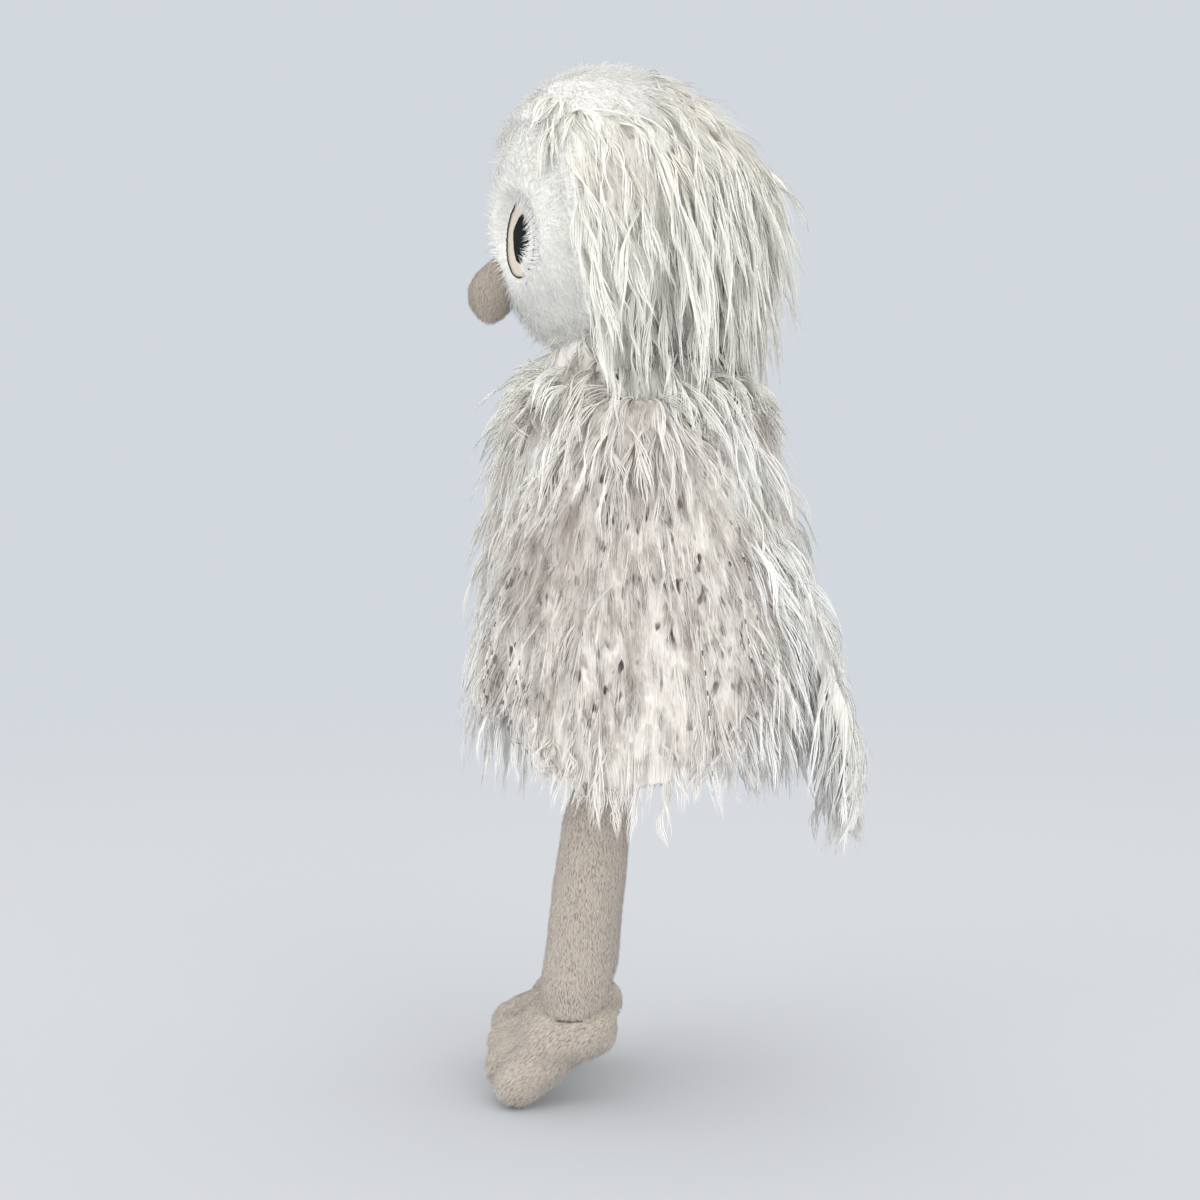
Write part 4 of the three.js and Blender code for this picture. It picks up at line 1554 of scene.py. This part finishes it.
@dataclass
class Eye:
    """One embroidered eye: a dark outline, a cream ring and a black pupil."""

    side: Side
    x: float = 0.027
    y: float = -0.06616
    z: float = 0.40487
    outward: float = math.radians(22)
    outline_radius: float = 0.0186
    ring_radius: float = 0.0178
    pupil_radius: float = 0.0118
    thread: float = 0.00034
    stitch_angle: float = math.radians(62)
    outline_stitches: int = 44

    def axes(self) -> tuple:
        """The eye's centre, the way it looks, and its sideways and upward axes."""
        sign = self.side.value
        look = np.array([sign * math.sin(self.outward), -math.cos(self.outward), 0.0])
        across = np.array([-look[1], look[0], 0.0])
        return vec(sign * self.x, self.y, self.z), look, across, vec(0.0, 0.0, 1.0)

    def off_axis(self, points: Array) -> Array:
        """Each point's distance from the line that the eye looks along."""
        centre, look, _, _ = self.axes()
        away = points - centre
        ahead = away @ look
        distance = np.linalg.norm(away - ahead[:, None] * look, axis=1)
        return np.where(np.abs(ahead) < 0.03, distance, 1.0)

    def rearward(self, points: Array) -> Array:
        """How far behind the eye's middle each point is, from -1 to 1 round it."""
        centre, _, across, up = self.axes()
        away = points - centre
        flat = np.stack([away @ across * self.side.value, away @ up], axis=1)
        return unit(flat)[:, 0]

    def inward(self, points: Array) -> Array:
        """The way from each point towards the eye's middle, and a little down."""
        centre, look, _, _ = self.axes()
        away = points - centre
        away = away - (away @ look)[:, None] * look
        return unit(DOWN * 0.2 - unit(away))

    def build(self, skin: Skin) -> None:
        """Stitches the eye onto the face.

        Args:
            skin: The head's skin.
        """
        rng = np.random.default_rng(SEED + 3 + self.side.value)
        tree = skin.tree()
        stitches = {
            "outline": (self._outline(rng), Look.LINE_THREAD, "brown_thread", 0.00034, 0.0005),
            "ring": (self._ring(rng), Look.RING_THREAD, "cream_thread", 0.00036, 0.0003),
            "pupil": (self._pupil(rng), Look.PUPIL_THREAD, "black_thread", 0.00040, 0.0006),
        }
        for part, (lines, look, slot, radius, bulge) in stitches.items():
            name = f"{self.side.word}_eye_{part}"
            made = self._threads(f"{name}_stitches", lines, radius, bulge, tree)
            made.data.materials.append(look.material())
            Part("head", slot).hang(made, [name])
            log.info("%s: %d stitches", made.name, len(lines))

    def _pupil(self, rng: Rng) -> Array:
        """Slanting satin stitches across a disc, as their ends on the eye's own plane."""
        along = np.array([math.cos(self.stitch_angle), math.sin(self.stitch_angle)])
        over = np.array([-along[1], along[0]])
        rows = np.arange(-self.pupil_radius + self.thread, self.pupil_radius, self.thread * 1.5)
        half = np.sqrt(np.maximum(self.pupil_radius**2 - rows**2, 0))
        half = half + rng.uniform(-0.0002, 0.0007, len(rows))
        middle = rows[:, None] * over
        return np.stack([middle - half[:, None] * along, middle + half[:, None] * along], axis=1)

    def _ring(self, rng: Rng) -> Array:
        """Stitches that stand round the pupil like spokes."""
        count = int(2 * math.pi * self.ring_radius / (self.thread * 1.7))
        out = circle_at(turns_of(count))
        inner = self.pupil_radius - 0.0004 + rng.uniform(0, 0.0004, (count, 1))
        return np.stack([out * inner, out * self.ring_radius], axis=1)

    def _outline(self, rng: Rng) -> Array:
        """Short stitches, each over the next one's start, along the eye's edge."""
        count = self.outline_stitches
        turns = turns_of(count)
        reach = 1.5 * 2 * math.pi / count
        radius = self.outline_radius - 0.0004 + rng.uniform(-0.00012, 0.00012, (count, 1))
        return np.stack([circle_at(t) * radius for t in (turns, turns + reach)], axis=1)

    def _threads(
        self, name: str, lines: Array, radius: float, bulge: float, tree: BVHTree
    ) -> bpy.types.Object:
        """Closed tubes along stitches, each raised in its middle.

        Args:
            name: The object's name.
            lines: Each stitch's two ends on the eye's own plane.
            radius: The thread's radius.
            bulge: How far a stitch's middle stands up.
            tree: The skin that they are sewn to.

        Returns:
            All the stitches as one mesh.
        """
        centre, look, across, up = self.axes()
        rings, corners = 9, 6
        share = np.linspace(0, 1, rings + 1)
        flat = lines[:, None, 0] * (1 - share)[:, None] + lines[:, None, 1] * share[:, None]
        spine = centre + flat[..., :1] * across + flat[..., 1:] * up
        for stitch in spine:
            for i, point in enumerate(stitch):
                hit = tree.ray_cast(Vector(point + look * 0.02), Vector(-look), 0.05)[0]
                stitch[i] = point if hit is None else np.array(hit)
        heights = np.sin(share * math.pi) ** 0.6 * bulge + radius * 0.4
        spine = spine + look * heights[:, None]
        tangent = unit(np.gradient(spine, axis=1))
        side = unit(np.cross(tangent, look))
        points = np.empty((len(lines), corners * rings + 1, 3))
        girth = np.sin(np.clip(share * 1.02 + 0.02, 0, 1) * math.pi) ** 0.35 * radius
        girth[0] = radius * 0.4
        for corner in range(corners):
            angle = corner * 2 * math.pi / corners
            out = side * math.cos(angle) * 1.1 - look * math.sin(angle)
            ring = spine + out * girth[:, None]
            points[:, corner : corners * rings : corners] = ring[:, :rings]
        points[:, -1] = spine[:, -1]
        return build_mesh(name, points.reshape(-1, 3), tube_faces(len(lines), rings, corners))


@dataclass
class Beak:
    """The stuffed drop-shaped beak with its short nap."""

    nap: Pile = replace(NAP, spacing=0.00066, length=(0.0022, 0.0032), radius=0.00017, lift=0.7)

    def build(self) -> None:
        """Builds the beak."""
        rng = np.random.default_rng(SEED + 5)
        skin = Skin.wrap("beak_plush", ["beak_skin", "beak_stuffing"], 0.0013, 6)
        skin.swell(even(-0.0004))
        skin.paint(Look.LEG_CLOTH)
        part = Part("head", "beige_plush")
        coat = Coat("beak_nap", self.nap, Look.BEAK_NAP, lambda p, n: n[:, 1] < 0.85,
                    lambda p: np.tile(DOWN + vec(0, -0.25, 0), (len(p), 1)))
        part.hang(coat.grow(skin, None, rng))
        part.hang(skin.object, ["beak_skin", "beak_stuffing"], 0.9)


@dataclass
class Wing:
    """One wing: a fan of speckled fur over a beige lining."""

    side: Side
    inset: float = 0.0024
    hem_band: float = 0.030
    hem_bins: int = 24
    shoulder_z: float = 0.300
    smoke: tuple = (
        ((-0.047, 0.256), 0.020, 1.0), ((0.034, 0.264), 0.009, 0.8),
        ((-0.008, 0.300), 0.014, 0.5), ((0.0, 0.24), 0.016, 0.4),
    )
    top_z: float = 0.316
    fan: Pile = replace(TUFT, spacing=0.0060, length=(0.020, 0.036), radius=0.00016, cling=1.0,
                        droop=0.25)
    fringe: Pile = replace(LOCK, spacing=0.0092, length=(0.048, 0.078), width=0.0042, fibres=13,
                           radius=0.00030, droop=1.1, cling=0.5, layer=(0.0005, 0.005),
                           wave=0.0044, twist=0.9)
    mantle: Pile = replace(LOCK, spacing=0.0060, length=(0.030, 0.052), lift=0.5, stray=0.3,
                           layer=(0.001, 0.005))
    guard: Pile = replace(NAP, spacing=0.0115, length=(0.070, 0.105), radius=0.00017, lift=0.30,
                          droop=1.3, cling=0.35, layer=(0.004, 0.007), wave=0.0004, waves=0.7,
                          stray=0.06, rings=26, bead=1.9)
    nap: Pile = replace(NAP, spacing=0.0018, radius=0.00034)
    tips: tuple = (
        (-0.095, -0.079, -0.050, -0.025, 0.006, 0.015, 0.035, 0.060),
        (0.168, 0.152, 0.126, 0.120, 0.122, 0.128, 0.156, 0.178),
    )
    shoulder: Array = field(init=False)
    hem_line: tuple = field(init=False)

    def build(self) -> Skin:
        """Builds the wing.

        Returns:
            The wing's skin, for others to keep clear of.
        """
        word = self.side.word
        rng = np.random.default_rng(SEED + 7 + self.side.value)
        nodes = [f"{word}_wing_coat", f"{word}_wing_lining"]
        self.shoulder = np.array(joint_place(f"{word}_wing_lift"))
        skin = Skin.wrap(f"{word}_wing_panel", nodes, 0.0028, 4)
        skin.swell(even(-self.inset))
        self._measure_hem(points_of(skin.object.data))
        tree = skin.tree()
        part = Part(f"{word}_wing", "spotted_fur")
        coats = [
            Coat(f"{word}_wing_fan", self.fan, Look.WING_FUR, self._outside, self._comb,
                 flecks=self._flecks, patches=self._patches, hem=self._tip_z, ragged=0.02),
            Coat(f"{word}_wing_fringe", self.fringe, Look.WING_FUR, self._hem, self._comb,
                 flecks=self._flecks, patches=lambda p: 0.3 * self._patches(p),
                 hem=lambda p: self._tip_z(p) - 0.003, ragged=0.052),
            Coat(f"{word}_wing_mantle", self.mantle, Look.WING_FUR, self._on_shoulder, self._comb,
                 flecks=lambda p: 0.6 * self._flecks(p), patches=lambda p: 0.4 * self._patches(p)),
            Coat(f"{word}_wing_guard_hairs", self.guard, Look.GUARD_HAIR, self._long_hairs,
                 self._comb, flecks=ones, hem=lambda p: self._tip_z(p) - 0.006, ragged=0.01),
        ]
        for coat in coats:
            part.hang(coat.grow(skin, tree, rng))
        lining = Coat(f"{word}_wing_lining_nap", self.nap, Look.LEG_NAP,
                      lambda p, n: self._outward(p, n) < -0.2, self._comb)
        Part(f"{word}_wing", "beige_plush").hang(lining.grow(skin, None, rng))
        skin.dye(self._patches, self._flecks)
        skin.line(Look.WING_CLOTH, Look.LEG_CLOTH, lambda face: self._outward(
            np.array([face.center]), np.array([face.normal]))[0] < 0)
        part.hang(skin.object, nodes, 0.2)
        return skin

    def _measure_hem(self, points: Array) -> None:
        """Finds how low the panel hangs at each place along its width."""
        _, y, z = points.T
        edges = np.linspace(y.min(), y.max(), self.hem_bins + 1)
        slots = np.digitize(y, edges) - 1
        lowest = [z[slots == i].min() for i in range(self.hem_bins)]
        self.hem_line = ((edges[:-1] + edges[1:]) / 2, np.array(lowest))

    def _outward(self, points: Array, normals: Array) -> Array:
        """How squarely each normal looks away from the owl, from -1 to 1."""
        return (outward(points, vec(0, self.shoulder[1], 0)) * normals).sum(axis=1)

    def _tip_z(self, points: Array) -> Array:
        """How low the tips hang below each place along the wing."""
        return np.interp(points[:, 1], *self.tips)

    def _above_hem(self, points: Array) -> Array:
        """How far above the panel's lower edge each point is."""
        return points[:, 2] - np.interp(points[:, 1], *self.hem_line)

    def _outside(self, points: Array, normals: Array) -> Array:
        """Whether each root is on the coat's side, or over the top edge."""
        out = self._outward(points, normals)
        return (out > 0.1) | ((points[:, 2] > self.top_z) & (out > -0.5))

    def _hem(self, points: Array, normals: Array) -> Array:
        """Whether each root is in the band along the lower edge."""
        edge = (self._outward(points, normals) > -0.3) & (normals[:, 2] > -0.6)
        return edge & (self._above_hem(points) < self.hem_band)

    def _on_shoulder(self, points: Array, normals: Array) -> Array:
        """Whether each root is round the wing's top."""
        return (points[:, 2] > self.shoulder_z) & (self._outward(points, normals) > -0.6)

    def _long_hairs(self, points: Array, normals: Array) -> Array:
        """Whether each root is in one of the three bands that have guard hairs."""
        _, y, z = points.T
        front = (y < -0.060) & between(z, 0.205, 0.262) & (ripple(points, 0.02, 4.0) > 0)
        middle = (np.abs(y - 0.012) < 0.007) & between(z, 0.19, 0.24)
        rear = between(y, 0.018, 0.046) & between(z, 0.235, 0.31)
        rear = rear & (ripple(points, 0.016, 5.0) > 0.1)
        return (self._outward(points, normals) > 0.2) & (front | middle | rear)

    def _comb(self, points: Array) -> Array:
        """Fanned out from above the shoulder."""
        away = unit(points - self.shoulder - vec(0, 0, 0.02))
        return unit(away + DOWN * 0.3 + sway(points, 0.03, 9.0, (0, 0.12, 0)))

    def _flecks(self, points: Array) -> Array:
        """How strongly flecks show: not ahead of the front line, and less near the hem."""
        _, y, z = points.T
        ahead = rise(y + 0.054 + (0.302 - z) * 0.435, -0.004, 0.004)
        low = rise(z, 0.150, 0.200)
        high = 1 - 0.6 * rise(z, 0.288, 0.305)
        cluster = np.clip(ripple(points, 0.035, 3.0 + self.side.value) * 0.8 + 0.75, 0.1, 1.6)
        return np.clip(0.75 * ahead * low * high * cluster, 0, 1)

    def _patches(self, points: Array) -> Array:
        """Four smoky spots, and a mottle all over but the hem."""
        spots = blots(points, self.smoke)
        mottle = np.maximum(ripple(points, 0.013, 1.0), 0) * 0.9
        return np.clip(spots * 0.9 + mottle * rise(points[:, 2], 0.160, 0.200) - 0.02, 0, 1)


@dataclass
class Tail:
    """The tail: a long-haired flap with a beige lining."""

    inset: float = 0.0022
    tufts: Pile = replace(TUFT, spacing=0.0074, length=(0.024, 0.038))
    locks: Pile = replace(LOCK, spacing=0.0090, length=(0.040, 0.070), lift=0.2, droop=1.2,
                          layer=(0.0003, 0.0026), wave=0.0044, stray=0.20)
    root_tufts: Pile = replace(LOCK, spacing=0.0066, length=(0.028, 0.046), lift=0.5, droop=1.2,
                               layer=(0.0003, 0.002), stray=0.22)
    root: Array = field(init=False)
    skin: Skin = field(init=False)

    def form(self) -> Skin:
        """Makes the tail's bare skin.

        Returns:
            The skin, for others to keep clear of.
        """
        self.root = np.array(joint_place("tail_lift"))
        self.skin = Skin.wrap("tail_panel", ["tail_coat", "tail_lining"], 0.0028, 4)
        self.skin.swell(even(-self.inset))
        return self.skin

    def dress(self, trunk: Skin) -> None:
        """Grows the tail's hair and finishes its skin.

        Args:
            trunk: The torso's skin, which the locks stay out of.
        """
        rng = np.random.default_rng(SEED + 11)
        skin = self.skin
        tree = tree_of([skin, trunk])
        part = Part("tail", "cream_fur")
        for kind, pile in (("tufts", self.tufts), ("locks", self.locks)):
            coat = Coat(f"tail_{kind}", pile, Look.BODY_FUR,
                        lambda p, n: (n[:, 2] > -0.6) & ((n[:, 1] > -0.8) | (p[:, 2] < 0.205)),
                        self._comb, hem=even(0.104), ragged=0.05)
            part.hang(coat.grow(skin, tree, rng))
        coat = Coat("tail_root_tufts", self.root_tufts, Look.BODY_FUR,
                    lambda p, n: (p[:, 2] > self.root[2] - 0.012) & (n[:, 1] > -0.8), self._comb)
        part.hang(coat.grow(skin, tree, rng))
        skin.dye(zeros)
        skin.line(Look.COAT_CLOTH, Look.LEG_CLOTH, lambda face: (
            face.normal.y < -0.8 and face.center.z < self.root[2] - 0.03))
        part.hang(skin.object, ["tail_coat", "tail_lining"], 0.25)

    def _comb(self, points: Array) -> Array:
        """Down from the root, and back in where the tail sweeps out."""
        away = unit(points - self.root)
        inward = rise(points[:, 1], 0.068, 0.088)[:, None] * vec(0, -0.8, 0)
        return unit(away * vec(0.7, 0.3, 1) + DOWN * 0.8 + inward)


@dataclass
class Leg:
    """One plush leg and its foot, with the seam between them."""

    side: Side
    pitch: float
    roll: float
    nap: Pile = NAP
    seam_z: float = 0.0405
    sole_drop: float = 0.0215
    seam_turns: int = 64
    seam_sides: int = 6
    thread: float = 0.0005

    def build(self) -> None:
        """Builds the leg and foot."""
        word = self.side.word
        rng = np.random.default_rng(SEED + 13 + self.side.value)
        shin = f"{word}_leg"
        ankle = joint_place(f"{word}_ankle_rock")
        leg_part = Part.over(f"{word}_hip_swing", ("torso", shin), "beige_plush", 0.003, 0.010)
        foot_part = Part.over(f"{word}_ankle_rock", (shin, f"{word}_foot"), "beige_plush",
                              0.007, 0.006)
        nodes = [f"{word}_leg_skin", f"{word}_leg_stuffing"]
        leg = Skin.wrap(f"{word}_leg_plush", nodes, 0.0022, 8)
        leg.swell(lambda points: 0.0004 + 0.0012 * rise(points[:, 2], ankle.z + 0.03, ankle.z))
        leg.paint(Look.LEG_CLOTH)
        coat = Coat(f"{word}_leg_nap", self.nap, Look.LEG_NAP,
                    lambda p, n: p[:, 2] > self.seam_z - 0.002, self._leg_comb)
        leg_part.hang(coat.grow(leg, None, rng))
        leg_part.hang(leg.object, nodes, 0.8)
        self._foot(word, ankle, foot_part, rng)
        self._seam(word, ankle, leg)

    def _foot(self, word: str, ankle: Vector, part: Part, rng: Rng) -> None:
        """The foot's upper and its sole, parted at the sole's seam."""
        nodes = [f"{word}_foot_{piece}" for piece in ("upper", "sole", "stuffing")]
        foot = Skin.wrap(f"{word}_foot_plush", nodes, 0.0018, 7)
        foot.swell(even(-0.0004))
        foot.swell(lambda points: self._puffed(points, np.array(ankle)))
        sole_up = self._sole_normal()
        seam = ankle - sole_up * self.sole_drop
        sole = foot.cut(f"{word}_foot_sole_plush", seam, -sole_up)
        normal = np.array(sole_up)
        level = float(np.dot(np.array(seam), normal))
        upper_coat = Coat(f"{word}_foot_nap", self.nap, Look.FOOT_NAP,
                          lambda p, n: p @ normal > level + 0.0004, self._foot_comb)
        part.hang(upper_coat.grow(foot, None, rng))
        sole_coat = Coat(f"{word}_foot_sole_nap", self.nap, Look.SOLE_NAP,
                         lambda p, n: p @ normal < level - 0.0004, self._foot_comb)
        part.hang(sole_coat.grow(sole, None, rng))
        foot.paint(Look.FOOT_CLOTH)
        sole.paint(Look.SOLE_CLOTH)
        part.hang(foot.object, [nodes[0], nodes[2]], 0.8)
        part.hang(sole.object, [nodes[1]], 0.8)

    def _puffed(self, points: Array, ankle: Array) -> Array:
        """How far the upper puffs out: up to the leg all round, and along the outer arch."""
        off = np.hypot(points[:, 0] - ankle[0], points[:, 1] - ankle[1] + 0.002)
        collar = rise(off, 0.027, 0.017) * rise(points[:, 2], 0.020, 0.030)
        arch = ankle + vec(self.side.value * 0.016, 0.001, -0.030)
        away = np.linalg.norm(points - arch, axis=1)
        return 0.0048 * collar + 0.0045 * np.exp(-((away / 0.013) ** 2))

    def _seam(self, word: str, ankle: Vector, leg: Skin) -> None:
        """Stitches round the ankle, sunk where the leg meets the foot."""
        tree = leg.tree()
        count, sides = self.seam_turns, self.seam_sides
        centre = vec(ankle.x, ankle.y - 0.001, self.seam_z)
        points = []
        for turn in turns_of(count):
            out = Vector((math.cos(turn), math.sin(turn), 0))
            hit = tree.ray_cast(Vector(centre) + out * 0.04, -out, 0.05)[0]
            pull = 0.0004 * math.cos(turn * count / 4)
            spot = Vector(centre) + out * 0.015 if hit is None else hit + out * (0.0006 + pull)
            for side in range(sides):
                angle = side * 2 * math.pi / sides
                round_it = out * math.cos(angle) + Vector((0, 0, 1)) * math.sin(angle)
                points.append(spot + round_it * self.thread)
        faces = []
        for i in range(count):
            low, high = i * sides, (i + 1) % count * sides
            for side in range(sides):
                after = (side + 1) % sides
                faces.append((low + side, high + side, high + after))
                faces.append((low + side, high + after, low + after))
        made = build_mesh(f"{word}_ankle_seam", np.array(points), np.array(faces))
        made.data.materials.append(Look.SEAM_THREAD.material())
        Part(f"{word}_leg", "beige_plush").hang(made)

    def _sole_normal(self) -> Vector:
        """The way up from the sole of the tilted foot."""
        roll = self.side.value * self.roll
        return Vector((
            math.sin(roll),
            -math.sin(self.pitch) * math.cos(roll),
            math.cos(self.pitch) * math.cos(roll),
        ))

    def _leg_comb(self, points: Array) -> Array:
        """Down the leg."""
        return unit(DOWN + sway(points, 0.009, 5.0, (0.3, 0.6, 0.0)))

    def _foot_comb(self, points: Array) -> Array:
        """Towards the toes."""
        return unit(vec(0, -0.8, -0.7) + sway(points, 0.008, 8.0, (0.4, 0.4, 0.4)))


# The studio


@dataclass
class Studio:
    """A pale seamless floor and wall, soft light and the photograph's camera."""

    camera_distance: float = 0.8
    camera_y: float = -0.0297
    camera_z: float = 0.2347
    focal_share: float = 1640 / 1200
    wall: tuple = colour(210, 216, 222)
    floor: tuple = colour(188, 192, 198)
    daylight: tuple = colour(255, 253, 250)
    daylight_strength: float = 1.30
    sensor: float = 36.0
    floor_radius: float = 9.0
    floor_fade: tuple = (0.5, 3.2)
    lamps: tuple = (
        ("key", (2.7, 1.5, 1.1), (0, 0, 0.25), 2.4, 21.0),
        ("fill", (2.2, -2.4, 0.9), (0, 0, 0.25), 2.4, 23.0),
        ("top", (0.3, 0.2, 3.0), (0, 0, 0.2), 2.2, 1.5),
    )

    def build(self) -> None:
        """Builds the studio round the owl."""
        self._camera()
        self._backdrop()
        self._world()
        self._lights()

    def _camera(self) -> None:
        """A camera level with the owl's middle, on its left."""
        bpy.ops.object.camera_add(
            location=(self.camera_distance, self.camera_y, self.camera_z),
            rotation=(math.pi / 2, 0, math.pi / 2),
        )
        camera = bpy.context.object
        camera.data.sensor_width = self.sensor
        camera.data.lens = self.sensor * self.focal_share
        bpy.context.scene.camera = camera

    def _backdrop(self) -> None:
        """A floor that fades far off into the pale wall behind it."""
        radius = self.floor_radius
        bpy.ops.mesh.primitive_circle_add(vertices=96, radius=radius, fill_type="NGON")
        floor = bpy.context.object
        floor.name = "floor"
        graph = Graph.named("floor_paint")
        graph.set(Base_Color=self.floor, Roughness=0.9, Specular_IOR_Level=0.2)
        place = graph.node("ShaderNodeTexCoord", {}, "Object")
        away = graph.node("ShaderNodeVectorMath", {0: place}, "Value", operation="LENGTH")
        glow = graph.node("ShaderNodeEmission", {"Color": self.wall})
        paint = Value(graph, graph.shader.outputs[0])
        share = away.step(*self.floor_fade) * graph.seen()
        graph.finish(graph.node("ShaderNodeMixShader", {0: share, 1: paint, 2: glow}))
        floor.data.materials.append(graph.owner)

    def _world(self) -> None:
        """Even light from all round, behind a wall whose colour only the camera sees."""
        world = bpy.data.worlds.new("studio")
        bpy.context.scene.world = world
        graph = Graph(world)
        graph.set(Color=self.daylight, Strength=self.daylight_strength)
        light = Value(graph, graph.shader.outputs[0])
        wall = graph.node("ShaderNodeBackground", {"Color": self.wall})
        graph.finish(graph.node("ShaderNodeMixShader", {0: graph.seen(), 1: light, 2: wall}))

    def _lights(self) -> None:
        """The soft round lamps, each aimed at a place."""
        for name, place, aim, size, power in self.lamps:
            bpy.ops.object.light_add(type="AREA", location=place)
            lamp = bpy.context.object
            lamp.name = name
            lamp.data.shape = "DISK"
            lamp.data.size = size
            lamp.data.energy = power
            look = Vector(aim) - Vector(place)
            lamp.rotation_euler = look.to_track_quat("-Z", "Y").to_euler()
        bpy.context.scene.view_settings.view_transform = "Standard"


def main() -> None:
    """Builds the owl and its studio."""
    logging.basicConfig(level=logging.INFO, format="%(name)s: %(message)s")
    for name in ("Cube", "Light", "Camera"):
        if name in bpy.data.objects:
            bpy.data.objects.remove(bpy.data.objects[name])
    Studio().build()
    torso, tail = Torso(), Tail()
    trunk, flap = torso.form(), tail.form()
    wings = [Wing(side).build() for side in Side]
    torso.dress(wings, flap)
    tail.dress(trunk)
    head = Head().build(trunk)
    for side in Side:
        Eye(side).build(head)
    Beak().build()
    Leg(Side.LEFT, math.radians(27), math.radians(22)).build()
    Leg(Side.RIGHT, math.radians(14.5), math.radians(8)).build()
    for whole in (trunk, head):
        bpy.data.objects.remove(whole.object)


if __name__ == "__main__":
    main()
